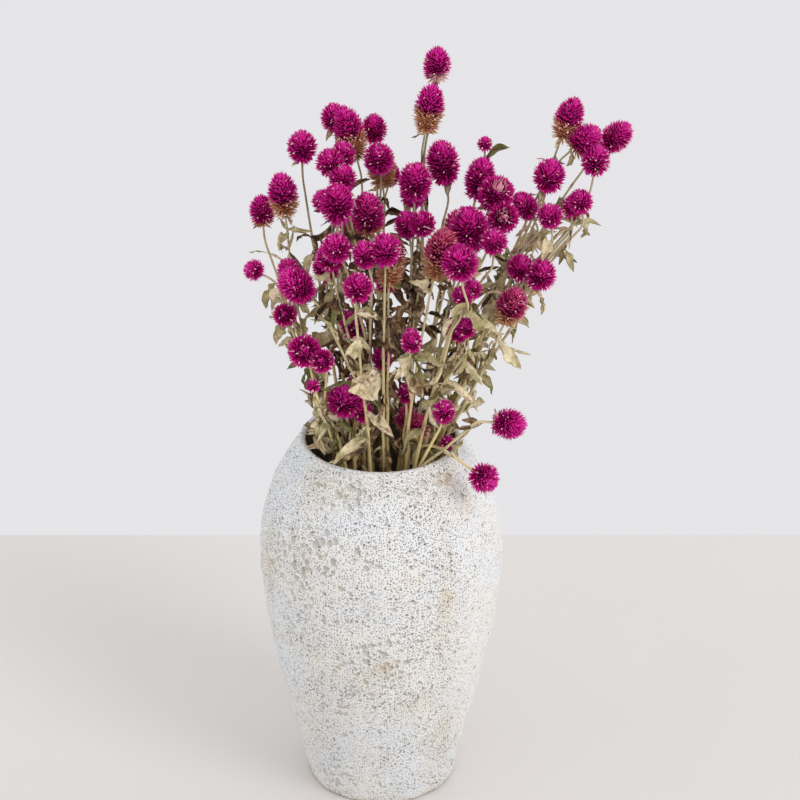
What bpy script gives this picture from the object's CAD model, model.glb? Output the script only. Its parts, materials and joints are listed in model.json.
"""The looks of a pitted ceramic vase that holds a dried bunch of globe amaranth.

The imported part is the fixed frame. Metres, +Z up, and -Y faces the viewer. The heads, stems and
leaves go where the part's own rules put them, and each is made again in fine detail there.
"""

import json
import math
import random
from collections import namedtuple

import bpy
import numpy as np
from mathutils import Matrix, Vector
from mathutils.bvhtree import BVHTree

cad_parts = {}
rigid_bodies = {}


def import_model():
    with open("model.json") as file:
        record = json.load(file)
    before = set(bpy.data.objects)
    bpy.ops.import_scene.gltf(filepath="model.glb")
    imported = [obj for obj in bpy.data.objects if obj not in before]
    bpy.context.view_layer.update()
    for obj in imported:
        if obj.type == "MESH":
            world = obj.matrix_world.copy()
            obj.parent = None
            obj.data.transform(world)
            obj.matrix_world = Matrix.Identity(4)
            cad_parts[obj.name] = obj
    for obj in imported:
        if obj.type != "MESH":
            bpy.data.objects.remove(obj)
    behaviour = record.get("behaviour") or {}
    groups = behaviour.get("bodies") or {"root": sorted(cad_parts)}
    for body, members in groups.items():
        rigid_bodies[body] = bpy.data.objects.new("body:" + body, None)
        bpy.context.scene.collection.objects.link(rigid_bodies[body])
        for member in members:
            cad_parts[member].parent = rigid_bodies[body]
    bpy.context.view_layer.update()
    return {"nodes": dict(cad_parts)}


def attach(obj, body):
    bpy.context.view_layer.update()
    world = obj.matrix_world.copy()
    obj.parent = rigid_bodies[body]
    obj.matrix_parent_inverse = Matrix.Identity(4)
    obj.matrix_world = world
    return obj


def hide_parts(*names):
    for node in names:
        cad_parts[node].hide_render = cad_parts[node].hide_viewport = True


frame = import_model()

MM = 0.001
GAP = 0.3 * MM
LEAF_SEED, MORE_SEED, VASE_SEED, LOOKS_SEED = 7, 3, 11, 5

# Vase, turned about Z
VASE_HEIGHT = 250 * MM
VASE_FOOT_RADIUS = 46 * MM
VASE_WALL = 5.5 * MM
VASE_FLOOR = 9 * MM
MOUTH_RADIUS = 47.5 * MM
LIP_RADIUS = 2.2 * MM
# Outer radius at shares of the height, from the foot to the start of the lip
VASE_OUTLINE = (
    (0.014, 49.0 * MM), (0.14, 55.5 * MM), (0.30, 65.3 * MM), (0.48, 74.0 * MM),
    (0.64, 77.8 * MM), (0.76, 76.6 * MM), (0.86, 69.6 * MM), (0.93, 60.8 * MM),
    (0.98, 52.8 * MM),
)

# Line of sight that the heads are placed by: a place is a pixel of the 800 x 800 view and a depth
EYE_BACK = 1450 * MM
EYE_UP = 1014.5 * MM
EYE_PITCH = math.radians(27.03)
FOCAL_PIXELS = 2590
EYE_RIGHT = 12.2 * MM
MIDDLE_PIXEL = 400

# Flower heads
HEAD_CLEARANCE = 1.3 * MM
HEAD_BITE = 3.6 * MM
NECK_ROOM = 2.0 * MM
NECK_REACHES = (3 * MM, 9 * MM)
SETTLE_ROUNDS = 320
SETTLE_STEP = 0.5
LARGEST_STEP = 2 * MM
SIDEWAYS_SHARE = 0.3
DEPTH_SHARE = 0.3
RETURN_PULL = 0.03
SHORTEST_HEAD = 0.9

# Stems
FOOT_STEM_RADIUS = 2.6 * MM
FORK_RADIUS = 2.3 * MM
FORK_OPENING = 0.5
SHOOT_RADIUS = 1.75 * MM
NECK_RADIUS = 0.95 * MM
BRANCH_RADIUS = 1.15 * MM
SAMPLE_STEP = 10 * MM
STEM_CLEARANCE = 1.5 * MM
MOUTH_SPREAD = 39 * MM
MIDDLE_SHARE = 0.28
WIDE_REACH = 150 * MM
FOOT_SPREAD = 26 * MM
FORK_RISE = 50 * MM
FORK_LEAN = 0.2
FORK_LENGTH = 13 * MM
RISING_TURN = 0.6
LEAST_CLIMB = 50 * MM
BRANCH_LOWEST = 150 * MM
BRANCH_DROP = 0.55
BRANCH_SPREAD = 0.7
FOOT_UPRIGHT = 5 * MM
JOINT_REACH = 17 * MM
DROOP_RISE = 12 * MM
LIP_PASS = 7 * MM
STIFFNESS = 0.35
STEM_SLACK = 0.8 * MM
STEM_APART = 0.35 * MM
SLACK_ROUNDS = 5
RELAX_ROUNDS = 160
RELAX_STEP = 0.6
PAIR_ROUNDS = 10
PAIR_REACH = 24 * MM
GOLDEN = 0.381966

# Leaves
LEAF_THICKNESS = 1.5 * MM
LEAF_WIDTHS = (0.16, 0.72, 1.0, 0.66, 0.08)
LEAF_FOLD = (15, 50)
LEAF_TWIST = 35
LEAF_LENGTHS = (17, 30)
LEAF_SLIMNESS = (0.34, 0.5)
LEAF_CURLS = (20, 120)
LEAF_WAVES = (0.5, 1.2)
LONG_LEAF_WAVES = (0.6, 1.6)
LEAF_STRETCH = 1.08
LEAF_TRIES = 26
TIP_PLAY = 4 * MM
LEAF_STEP = 130 * MM
LEAF_IN_FORK = 6 * MM
LEAF_LOWEST = VASE_HEIGHT + 14 * MM
FORK_LEAF_SHARE = 0.2
LEAF_SHORTEST = 12 * MM
LEAF_LONGEST = 48 * MM

# Looks of the heads
# Each point's values. Bract: share of its length, straw, shade, worn. Stem: tip is the swelling of
# a joint, age the height. Leaf: share of its length, share of the way to its edge, age. Vase: tip
# is the mm inside a crater's edge, straw the stain, tone the inside, pale how high in its crater
# the point is, age the way along the wall
POINT_VALUES = ("tip", "straw", "tone", "pale", "age")
# Each ring of a bract: share of its length, half width, height of its keel
BRACT_ROWS = ((0.0, 0.6, 0.35), (0.38, 1.0, 0.6), (0.72, 0.62, 0.42))
BRACT_TIP = 0.1
BRACT_LENGTH = 4.6 * MM
BRACT_WIDTH = 1.55 * MM
BRACT_SPACING = 1.58 * MM
BRACT_REACH = 2.8 * MM
BRACT_LEAN = 27
STRAW_LEAN = 20
BASE_SPREAD = 45
FULL_SIZE = 18
SIZE_POWER = 0.6
GOLDEN_ANGLE = math.pi * (3 - math.sqrt(5))
FLECK_SHARE = 0.08
FLECK_LENGTH = 2.2 * MM
FLECK_WIDTH = 0.42 * MM
CORE_SIDES = 12
CORE_ROWS = 9
# mm: heads wider than this have leafy bracts under them
SMALLEST_COLLAR = 12
# Share of a head's height that is worn pale, from the tip or from the base
WORN_TIPS = {"right_star": 0.16, "right_open": 0.12}
PALE_BASES = {"top": 0.3}
# Least value of the change from magenta to straw all over a head that has turned dusky
DUSKY = {"right_tall": 0.36, "front_straw": 0.4, "neck_red": 0.3, "neck_red_behind": 0.3,
         "side_faded": 0.28, "rear_right": 0.3, "middle_tall": 0.1}

# Looks of the stems and leaves
STEM_STEP = 3.5 * MM
STEM_SIDES = 8
STEM_INTO_HEAD = 1.6 * MM
JOINT_SPACING = 48 * MM
JOINT_LENGTH = 2.2 * MM
JOINT_SWELL = 0.35
BEND = 0.5 * MM
# Share of the solid stem's radius that shows, by height
STEM_SLIMNESS = ((0.20, 0.27, 0.42), (1.0, 0.84, 0.66))
LEAF_ROWS = 16
LEAF_COLUMNS = 9
LEAF_ROLL = (0.4, 1.4)
MORE_ROLL = (0.8, 2.6)
VEINS = 7
LEAF_CREASE = 0.10
# Age of each long leaf, from olive through tan and cream to brown
LONG_AGES = (
    0.34, 0.72, 0.62, 0.60, 0.60, 0.50, 0.60, 0.84, 0.64, 0.68, 0.40, 0.60, 0.58, 0.50, 0.46, 0.56,
    0.42, 0.40, 0.60, 0.58, 0.80, 0.45, 0.06, 0.50, 0.74, 0.50, 0.55,
)
# Crumpled leaves that the solids leave out: places tried, and how likely one is at each height
MORE_PLACES = 1080
MORE_HEIGHTS = ((0.222, 0.245, 0.275, 0.34, 0.39, 0.45), (0.0, 0.55, 1.0, 0.9, 0.4, 0.08))
MORE_TRIES = 7
# mm: the long leaves at least this wide stay uncovered in the view
SHOWN_WIDTH = 15
# Radius of what stays uncovered, as a share of the width of a front head and of such a leaf
SHOWN_HEAD = 0.5
SHOWN_LEAF = 0.6
MORE_LENGTHS = (10, 27)
MORE_SLIMNESS = (0.17, 0.38)
MORE_CURLS = (-30, 140)
MORE_OUTWARD = 0.40
MORE_RISE = (-1.3, 0.9)
MORE_TWIST = 170
MORE_CREASE = (0.10, 0.22)
MORE_ROWS = 12
MORE_COLUMNS = 7
INSIDE_ROOM = 2 * MM
# How far out from the bunch's middle a leaf is before it stops being a dark inner one, by height
INNER_REACH = ((0.24, 0.30, 0.40), (0.030, 0.042, 0.066))
INNER_AGES = (0.86, 1.0)
BUNCH_LEAN = 0.12
# Where the leaves that fill the mouth beside the stems end: column, row and depth in mm; how high
# their roots lie, the nearest roots to choose from, and the tries, slimness, curls and play of each
EDGE_LEAVES = ((303, 424, 6), (306, 434, -8), (309, 444, -20), (314, 454, -32), (320, 462, -40),
               (328, 470, -46), (312, 440, -26), (322, 452, -38), (300, 430, 0), (318, 446, -30))
EDGE_ROOTS = (0.205, 0.262)
EDGE_NEAREST = 14
EDGE_TRIES = 24
EDGE_SLIMNESS = (0.2, 0.36)
EDGE_CURLS = (-20, 70)
EDGE_PLAY = 5 * MM
# Running share of the leaves, and the least and greatest age that it has
LEAF_AGES = ((0.20, 0.02, 0.30), (0.46, 0.36, 0.60), (0.92, 0.60, 0.75), (1.0, 0.80, 1.0))

# Looks of the vase
VASE_ROWS = 280
VASE_COLUMNS = 540
VASE_SPLIT = 152
LOOSE_CRATERS = 900
# Least distance between two craters, as a share of their radii together
CRATER_ROOM = 0.95
LOOSE_CLUSTERS = 34
CLUSTER_CROWD = 1.6
# Angles that the view shows, which the loose clusters keep out of
FRONT_ANGLES = (-2.9, -0.25)
# Least number of craters in a loose cluster, and one more than the greatest
LOOSE_COUNTS = (5, 16)
# Radii of the craters: in a seen cluster as shares of its own, in a loose cluster in mm. Depths
# are shares of the radius
SEEN_RADII = (0.75, 1.55)
LOOSE_RADII = (1.1, 2.5)
CLUSTER_DEPTHS = (0.6, 0.95)
LOOSE_DEPTHS = (0.5, 0.8)
# In radii from a crater's middle: how far it reaches, and its rim's place and width. The rim's
# height is a share of the depth
CRATER_REACH = 1.7
RIM_HEIGHT = 0.25
RIM_PLACE = 1.2
RIM_WIDTH = 0.2
# mm: stands for the distance to a crater's edge where there is none
NO_CRATER = -1.5
# Column, row and spread of a cluster in the view, its craters and their radius in mm
CRATER_CLUSTERS = (
    (348, 486, 16, 34, 1.4), (425, 482, 14, 9, 1.5), (446, 480, 6, 6, 1.7), (360, 470, 8, 8, 1.9),
    (296, 552, 14, 26, 1.7), (318, 562, 14, 24, 1.6), (305, 590, 14, 18, 1.3), (275, 545, 8, 14, 1.4),
    (366, 560, 8, 5, 1.5), (440, 566, 12, 12, 1.1), (384, 664, 10, 18, 1.5), (362, 650, 6, 5, 1.6),
    (312, 640, 16, 20, 1.1), (440, 650, 10, 12, 1.1), (330, 700, 16, 20, 1.2), (338, 772, 12, 26, 1.3),
    (380, 700, 20, 16, 1.0), (300, 620, 10, 10, 1.1), (430, 720, 16, 14, 1.0), (400, 610, 24, 16, 1.0),
)
# Size in mm, whole waves round, radians per mm of height and start of each broad lump
LUMPS = ((0.28, 3, 0.03, 0.4), (0.2, 7, -0.05, 1.9), (0.12, 15, 0.09, 3.1), (0.08, 29, -0.2, 5.0))
# The pores are laid out as on a cylinder of this radius
PORE_RADIUS = 66 * MM
# Cells along and round, and size, of the random relief of the glaze
RELIEF = ((150, 280, 0.05 * MM), (70, 130, 0.09 * MM), (26, 48, 0.16 * MM))
# Column and row of a beige stain in the view, its width and height in mm, and its strength
STAINS = (
    (448, 600, 7, 40, 0.8), (440, 735, 9, 26, 0.55), (446, 478, 5, 5, 0.9), (320, 490, 16, 10, 0.5),
    (270, 560, 6, 26, 0.6), (304, 560, 7, 9, 0.5), (372, 610, 8, 9, 0.35), (385, 668, 9, 10, 0.5),
    (420, 700, 12, 14, 0.35), (465, 500, 12, 14, 0.4), (360, 492, 12, 6, 0.4), (300, 640, 8, 10, 0.3),
)

# Stage
SENSOR = 36
# How far back the floor ends, where the wall begins
WALL = 306 * MM
FLOOR_COLOUR = (0.758, 0.718, 0.694)
WALL_COLOUR = (0.79, 0.78, 0.805)
AMBIENT_COLOUR = (0.96, 0.98, 1.0)
AMBIENT = 0.90
# The key light: where it comes from, how strong and how wide it is, and its colour
KEY_FROM = (0.68, -0.56, 0.70)
KEY_STRENGTH = 0.72
KEY_SPREAD = math.radians(26)
KEY_COLOUR = (1.0, 0.985, 0.96)

Head = namedtuple("Head", "name node column row depth width length lean nod faded")
# column and row: the head's middle in the view. depth: mm behind the vase's axis.
# width, length: mm. lean: degrees clockwise from upright. nod: degrees towards the viewer.
# faded: the share of the head, from its base up, that has turned to straw.
HEADS = [Head(*row) for row in (
    ("top", 1, 437, 65, 30, 15, 22, 3, 0, 0.05),
    ("second", 2, 429, 110, 22, 16.5, 32, 8, 0, 0.42),
    ("upper_left", 3, 302, 147, 20, 16.5, 19.5, 0, 0, 0.0),
    ("crown_tall", 4, 350, 134, 25, 17.5, 36, -14, 0, 0.42),
    ("crown_behind", 4, 334, 118, 33, 15, 17.5, -5, 0, 0.0),
    ("crown_right", 5, 374, 129, 44, 14.5, 18, -5, 0, 0.0),
    ("crown_round", 6, 376, 155, 20, 16.5, 20, -5, 20, 0.0),
    ("crown_straw", 6, 381, 173, 31, 16.5, 27, -5, 0, 1.0),
    ("crown_small", 6, 394, 175, 40, 11, 13, 15, 0, 0.0),
    ("left_high", 7, 330, 162, 12, 16, 16, -8, 10, 0.0),
    ("left_high_behind", 7, 343, 155, 22, 14, 16, 0, 0, 0.0),
    ("left_high_low", 7, 343, 179, 6, 15.5, 16, 0, 0, 0.0),
    ("left_big", 8, 340, 206, -22, 19, 25, 0, 10, 0.0),
    ("left_side", 8, 321, 199, -12, 13, 12.5, -30, 0, 0.0),
    ("left_tall", 9, 283, 196, 8, 17, 29, -5, 0, 0.32),
    ("left_far", 10, 262, 211, 18, 14, 20, -3, 0, 0.08),
    ("middle_tall", 11, 368, 215, -12, 18, 28, -5, 0, 0.1),
    ("centre_high", 12, 416, 177, 5, 19, 23, 3, 0, 0.0),
    ("centre_high_low", 12, 413, 199, 14, 15, 16, 0, 0, 0.0),
    ("centre_right", 13, 443, 163, 28, 18.5, 28, -9, 0, 0.0),
    ("centre_front", 14, 422, 224, -15, 15, 14.5, -5, 18, 0.0),
    ("centre_dark", 14, 407, 225, -5, 14, 16, -10, 0, 0.0),
    ("left_front", 15, 338, 240, -46, 16, 17, -22, 8, 0.0),
    ("left_front_low", 15, 331, 257, -33, 16.5, 16, -8, 0, 0.0),
    ("left_front_under", 15, 324, 275, -24, 15, 18, 0, 0, 0.0),
    ("front_bright", 16, 384, 251, -50, 16.5, 19, 0, 8, 0.0),
    ("front_dark", 16, 364, 255, -45, 14.5, 16, -14, 0, 0.0),
    ("front_straw", 16, 394, 257, -34, 17, 34, 3, 0, 0.5),
    ("front_under", 16, 385, 286, -26, 12, 15, 0, 0, 0.1),
    ("right_bright", 17, 460, 263, -56, 20, 20, -8, 15, 0.0),
    ("right_tall", 17, 440, 255, -42, 19, 33, 13, 0, 0.35),
    ("right_big", 18, 469, 228, -26, 22, 26, -8, 10, 0.0),
    ("right_open", 19, 496, 194, 0, 20, 24, 15, 35, 0.0),
    ("right_high", 19, 480, 179, 12, 17, 27, 12, 0, 0.0),
    ("right_star", 19, 503, 218, -14, 17.5, 18, 5, 60, 0.0),
    ("right_slant", 20, 525, 206, 10, 14, 18, -32, 0, 0.0),
    ("right_under", 21, 494, 242, -32, 15, 14, 0, 0, 0.0),
    ("bud_high", 22, 485, 144, 44, 8.5, 8.5, 0, 0, 0.0),
    ("far_top", 23, 568, 120, 24, 16, 29, 18, 0, 0.35),
    ("far_middle", 23, 584, 140, 15, 17.5, 22, 50, 0, 0.1),
    ("far_low", 23, 596, 161, 6, 16, 19, 5, 0, 0.0),
    ("far_tip", 24, 616, 137, 34, 16, 22, 45, 0, 0.0),
    ("far_left", 25, 549, 176, 12, 17.5, 20.5, 10, 0, 0.0),
    ("far_small", 26, 584, 196, 0, 13.5, 14.5, -12, 10, 0.0),
    ("far_small_left", 26, 568, 202, 6, 12.5, 12.5, 0, 0, 0.0),
    ("far_small_low", 26, 574, 221, 14, 11.5, 11, 0, 0, 0.0),
    ("far_dark", 27, 550, 216, -4, 14, 14.5, -10, 0, 0.0),
    ("low_left_tip", 28, 254, 270, -5, 12, 11, -60, 0, 0.0),
    ("low_left_big", 29, 297, 287, -36, 19, 24, -45, 0, 0.0),
    ("low_left_behind", 29, 288, 268, -26, 12.5, 13, -10, 0, 0.0),
    ("low_left_round", 30, 285, 315, -24, 13, 12, -5, 50, 0.0),
    ("front_leafy", 31, 358, 288, -64, 16, 17, 5, 10, 0.0),
    ("face_left", 32, 304, 351, -46, 18, 17.5, -5, 50, 0.0),
    ("face_left_low", 32, 322, 361, -52, 13.5, 13.5, -20, 60, 0.0),
    ("bud_low", 33, 313, 386, -48, 7.5, 7.5, -15, 0, 0.0),
    ("neck_wide", 34, 343, 402, -27, 22, 17, 0, 0, 0.0),
    ("neck_behind", 34, 363, 412, -18, 12, 13, 0, 0, 0.0),
    ("neck_inner", 34, 356, 384, -18, 11, 13, 0, 0, 0.0),
    ("inner_left", 35, 352, 326, -16, 13.5, 20, -20, 0, 0.0),
    ("inner_middle", 36, 382, 359, -12, 12, 14, 0, 0, 0.0),
    ("front_small", 37, 413, 348, -64, 11.5, 11, 5, 20, 0.0),
    ("front_small_behind", 37, 410, 333, -56, 10, 12, 0, 0, 0.0),
    ("right_inner", 38, 461, 297, -48, 12, 11, 0, 0, 0.0),
    ("right_inner_behind", 38, 474, 288, -40, 10, 11, 0, 0, 0.0),
    ("right_low", 39, 469, 326, -44, 11.5, 12, -10, 5, 0.0),
    ("right_low_dark", 39, 456, 332, -37, 12.5, 15, 0, 0, 0.0),
    ("side_round", 40, 541, 275, -12, 17.5, 18, 20, 0, 0.0),
    ("side_behind", 40, 520, 268, -4, 16, 15.5, 10, 0, 0.0),
    ("side_faded", 41, 511, 307, -28, 17.5, 25, 20, 0, 0.25),
    ("neck_right", 42, 444, 412, -48, 12.5, 14, 5, 10, 0.0),
    ("neck_red", 43, 418, 427, -22, 13.5, 17, 8, 0, 0.15),
    ("neck_red_behind", 43, 407, 419, -13, 14.5, 16, 0, 0, 0.15),
    ("droop_side", 44, 509, 424, -30, 17.5, 20.5, 95, 0, 0.0),
    ("droop_low", 45, 484, 478, -52, 17, 17, 112, 30, 0.0),
    ("mouth_small", 46, 447, 443, -18, 8, 9, 10, 0, 0.0),
    ("inner_low", 47, 406, 394, -14, 10, 12, 0, 0, 0.0),
    ("rear_left", 48, 352, 232, 52, 16, 20, -8, -15, 0.0),
    ("rear_left_low", 48, 338, 246, 46, 14, 15, -14, -10, 0.0),
    ("rear_right", 49, 458, 226, 58, 17, 21, 8, -15, 0.1),
    ("rear_right_low", 49, 474, 240, 52, 15, 16, 16, -10, 0.0),
    ("rear_middle", 49, 445, 243, 50, 14, 15, 0, -15, 0.0),
)]

# Each plant's shoots. A shoot ends in the first head named, and the others branch off it.
PLANTS = {
    "left": (("low_left_tip", "low_left_round", "low_left_behind"),
             ("left_far", "left_tall"), ("face_left", "bud_low")),
    "left_back": (("upper_left", "left_high", "left_side"),
                  ("left_big", "left_high_low"), ("rear_left", "rear_left_low")),
    "left_front": (("front_leafy", "low_left_big"), ("face_left_low",),
                   ("neck_wide", "neck_behind", "neck_inner")),
    "crown": (("crown_tall", "crown_behind", "left_high_behind"),
              ("crown_right", "crown_round", "crown_straw"), ("crown_small",)),
    "middle": (("middle_tall", "left_front", "front_dark"),
               ("left_front_low", "left_front_under"), ("inner_left", "inner_middle")),
    "front": (("front_bright", "front_under"), ("front_straw",),
              ("right_tall", "front_small", "front_small_behind"),
              ("neck_red", "neck_red_behind", "inner_low")),
    "tall": (("top", "centre_right"), ("second",),
             ("centre_high", "centre_high_low", "centre_front", "centre_dark")),
    "right_front": (("right_bright", "right_inner", "right_low"),
                    ("right_big", "right_inner_behind", "right_low_dark"),
                    ("neck_right", "mouth_small", "droop_side"), ("droop_low",)),
    "right": (("right_high", "bud_high", "right_under"), ("right_open", "right_star", "right_slant"),
              ("rear_right", "rear_right_low", "rear_middle")),
    "right_far": (("far_left", "far_dark", "side_behind"),
                  ("far_top", "far_middle", "far_small_left"),
                  ("far_tip", "far_low", "far_small", "far_small_low"),
                  ("side_round", "side_faded")),
}

# Long leaves that hang or stand clear of the bunch: column, row and depth of the tip, width, curl
LONG_LEAVES = (
    (330, 326, -52, 17, 40), (372, 400, -66, 24, 60), (312, 284, -44, 11, -30),
    (418, 276, -60, 9, 30), (398, 334, -60, 12, 50), (478, 336, -58, 15, 35),
    (497, 322, -50, 10, 60), (424, 402, -60, 12, 25), (520, 364, -40, 8, 80),
    (484, 412, -50, 8, 20), (446, 322, -62, 9, 60), (548, 252, -20, 9, 90),
    (596, 232, 6, 8, 70), (578, 258, -6, 9, 90), (262, 300, -14, 9, 70),
    (268, 336, -22, 9, 60), (300, 330, -30, 8, 50), (322, 428, -44, 12, 40),
    (342, 452, -52, 9, 30), (352, 360, -60, 13, 50), (384, 318, -62, 10, 40),
    (432, 352, -66, 9, 60), (494, 136, 40, 7, 90), (532, 300, -20, 9, 60),
    (392, 424, -62, 10, 40), (288, 236, -6, 8, 60), (540, 236, 0, 8, 60),
)

Tube = namedtuple("Tube", "plant points thick thin parent head radii", defaults=(None,))


def unit(vector):
    return vector / np.linalg.norm(vector)


def unit_rows(rows, least=0):
    return rows / (np.linalg.norm(rows, axis=1)[:, None] + least)


def spoke(angle, across, other):
    return across * math.cos(angle) + other * math.sin(angle)


def spokes(angles, across, other):
    return np.cos(angles)[:, None] * across + np.sin(angles)[:, None] * other


def way_along(points):
    """How far each point of a line lies from the first, along the line."""
    return np.concatenate(([0], np.cumsum(np.linalg.norm(np.diff(points, axis=0), axis=1))))


def turn_between(one, other):
    """The shorter turn from one angle to another."""
    return (one - other + math.pi) % (2 * math.pi) - math.pi


def in_scene(name, data):
    obj = bpy.data.objects.new(name, data)
    bpy.context.scene.collection.objects.link(obj)
    return obj


def seen_at(column, row, depth):
    """The point that shows at this pixel of the view, at this depth behind the vase's axis."""
    forward = EYE_BACK + depth
    slope = (MIDDLE_PIXEL - row) / FOCAL_PIXELS
    cosine, sine = math.cos(EYE_PITCH), math.sin(EYE_PITCH)
    drop = forward * (slope * cosine - sine) / (cosine + slope * sine)
    distance = forward * cosine - drop * sine
    across = EYE_RIGHT + distance * (column - MIDDLE_PIXEL) / FOCAL_PIXELS
    return np.array((across, depth, EYE_UP + drop))


def head_axis(head):
    lean, nod = math.radians(head.lean), math.radians(head.nod)
    flat = math.cos(nod)
    return np.array((math.sin(lean) * flat, -math.sin(nod), math.cos(lean) * flat))


def vase_outer(height):
    heights = [0.0] + [share * VASE_HEIGHT for share, _ in VASE_OUTLINE] + [VASE_HEIGHT]
    radii = [VASE_FOOT_RADIUS] + [radius for _, radius in VASE_OUTLINE]
    radii.append(MOUTH_RADIUS + LIP_RADIUS)
    return np.interp(height, heights, radii)


class Bunch:
    """The settled places of the heads, and the spheres that stand for them."""

    def __init__(self):
        self.places = np.array([seen_at(h.column, h.row, h.depth * MM) for h in HEADS])
        self.start = self.places.copy()
        self.axes = np.array([head_axis(h) for h in HEADS])
        self.widths = np.array([h.width * MM for h in HEADS])
        self.lengths = np.maximum(np.array([h.length * MM for h in HEADS]), self.widths * SHORTEST_HEAD)
        self.nodes = np.array([h.node for h in HEADS])
        half = np.maximum(self.lengths - self.widths, 0) / 2
        neck = -self.lengths / 2
        rows = [(-half, self.widths / 2), (0 * half, self.widths / 2), (half, self.widths / 2)]
        rows += [(neck - reach, 0 * half + NECK_ROOM) for reach in NECK_REACHES]
        self.owner = np.tile(np.arange(len(HEADS)), len(rows))
        self.along = np.concatenate([row[0] for row in rows])
        self.size = np.concatenate([row[1] for row in rows])
        self.neck = np.arange(len(self.owner)) >= 3 * len(HEADS)

    def centres(self):
        return self.places[self.owner] + self.along[:, None] * self.axes[self.owner]

    def bases(self):
        return self.places - self.axes * (self.lengths / 2 + GAP)[:, None]

    def settle(self):
        """Parts the nodes, and draws the heads of one node together, mostly in depth."""
        start = self.start
        eye = np.array((EYE_RIGHT, -EYE_BACK, EYE_UP))
        sight = unit_rows(start - eye)
        depth = np.einsum("ij,ij->i", start, sight)
        owner, count = self.owner, len(HEADS)
        same_head = owner[:, None] == owner[None]
        same_node = self.nodes[owner][:, None] == self.nodes[owner][None]
        bodies = ~self.neck[:, None] & ~self.neck[None]
        wanted = np.full(same_node.shape, HEAD_CLEARANCE)
        wanted[same_node & bodies] = -HEAD_BITE
        order = np.sign(depth[owner][:, None] - depth[owner][None])
        reach = self.size[:, None] + self.size[None]
        links = self.links()
        for _ in range(SETTLE_ROUNDS):
            centres = self.centres()
            apart = centres[:, None] - centres[None]
            length = np.linalg.norm(apart, axis=2) + 1e-9
            short = np.where(same_head, 0, np.maximum(wanted + reach - length, 0))
            push = apart / length[..., None] * short[..., None] / 2
            view = sight[owner][:, None]
            deep = np.einsum("ijk,ijk->ij", push, np.broadcast_to(view, push.shape))
            flat = push - deep[..., None] * view
            inward = deep + DEPTH_SHARE * short * order
            moved = SIDEWAYS_SHARE * flat + inward[..., None] * view
            move = np.zeros((count, 3))
            np.add.at(move, owner, moved.sum(axis=1))
            body = centres[: 3 * count].reshape(3, count, 3)
            for one, other in links:
                between = body[:, None, other] - body[None, :, one]
                away = np.linalg.norm(between, axis=2)
                near = np.unravel_index(away.argmin(), away.shape)
                touching = (self.widths[one] + self.widths[other]) / 2 - HEAD_BITE
                pull = between[near] / (away[near] + 1e-9) * max(away[near] - touching, 0) / 2
                move[one] += pull
                move[other] -= pull
            drift = self.places + move - start
            drift -= np.einsum("ij,ij->i", drift, sight)[:, None] * sight
            step = np.clip(move * SETTLE_STEP, -LARGEST_STEP, LARGEST_STEP)
            self.places += step - RETURN_PULL * drift

    def links(self):
        """Each head of a node with the nearest of the heads named before it."""
        start = self.start
        found = []
        for index, node in enumerate(self.nodes):
            earlier = [other for other in range(index) if self.nodes[other] == node]
            if earlier:
                gaps = [np.linalg.norm(start[index] - start[other]) for other in earlier]
                found.append((index, earlier[int(np.argmin(gaps))]))
        return found


def curve_between(start, start_pull, end, end_pull):
    """Points about a step apart on a smooth curve that leaves and arrives along the pulls."""
    chord = np.linalg.norm(end - start)
    count = max(3, int(round(chord / SAMPLE_STEP)) + 1)
    share = np.linspace(0, 1, count)[:, None]
    square, cube = share ** 2, share ** 3
    first = (2 * cube - 3 * square + 1) * start + (cube - 2 * square + share) * start_pull * chord
    return first + (3 * square - 2 * cube) * end + (cube - square) * end_pull * chord


def straight(start, end):
    count = max(2, int(round(np.linalg.norm(end - start) / SAMPLE_STEP)) + 1)
    return start + np.linspace(0, 1, count)[:, None] * (end - start)


def mouth_place(base):
    """Where a shoot that ends at this base passes the mouth."""
    reach = np.hypot(base[0], base[1])
    spread = MOUTH_SPREAD * min(1.0, MIDDLE_SHARE + reach / WIDE_REACH)
    return np.array((base[0] / reach * spread, base[1] / reach * spread, VASE_HEIGHT))


def first_routes(bunch):
    """Each plant's foot, its shoots from the fork to their heads, and the branches off them."""
    bases = bunch.bases()
    number = {head.name: index for index, head in enumerate(HEADS)}
    tubes = []
    for order, (plant, shoots) in enumerate(PLANTS.items()):
        mouths = [mouth_place(bases[number[shoot[0]]]) for shoot in shoots]
        lean = np.mean(mouths, axis=0)[:2]
        angle = 2 * math.pi * order * GOLDEN
        ring = FOOT_SPREAD * math.sqrt((order + 0.5) / len(PLANTS))
        foot = np.array((ring * math.cos(angle), ring * math.sin(angle), VASE_FLOOR + GAP))
        fork = foot + np.array((*(lean - foot[:2]) * FORK_LEAN, FORK_RISE))
        upright = foot + np.array((0, 0, FOOT_UPRIGHT))
        trunk = np.vstack((foot, straight(upright, fork)))
        tubes.append(Tube(plant, trunk, FOOT_STEM_RADIUS, FORK_RADIUS, None, None))
        stem = len(tubes) - 1
        for shoot, mouth in zip(shoots, mouths):
            base, axis = bases[number[shoot[0]]], bunch.axes[number[shoot[0]]]
            points = shoot_route(fork, mouth, base, axis, np.mean(mouths, axis=0))
            last = len(tubes[stem].points) - 1
            tubes.append(Tube(plant, points, SHOOT_RADIUS, NECK_RADIUS, (stem, last), number[shoot[0]]))
            parent = len(tubes) - 1
            for name in shoot[1:]:
                base, axis = bases[number[name]], bunch.axes[number[name]]
                tubes.append(branch(plant, points, parent, base, axis, number[name]))
    return tubes


def droops(base):
    """Whether a head's base hangs outside the mouth, about as low as the lip."""
    return base[2] < VASE_HEIGHT + DROOP_RISE and np.hypot(base[0], base[1]) > MOUTH_RADIUS


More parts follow.
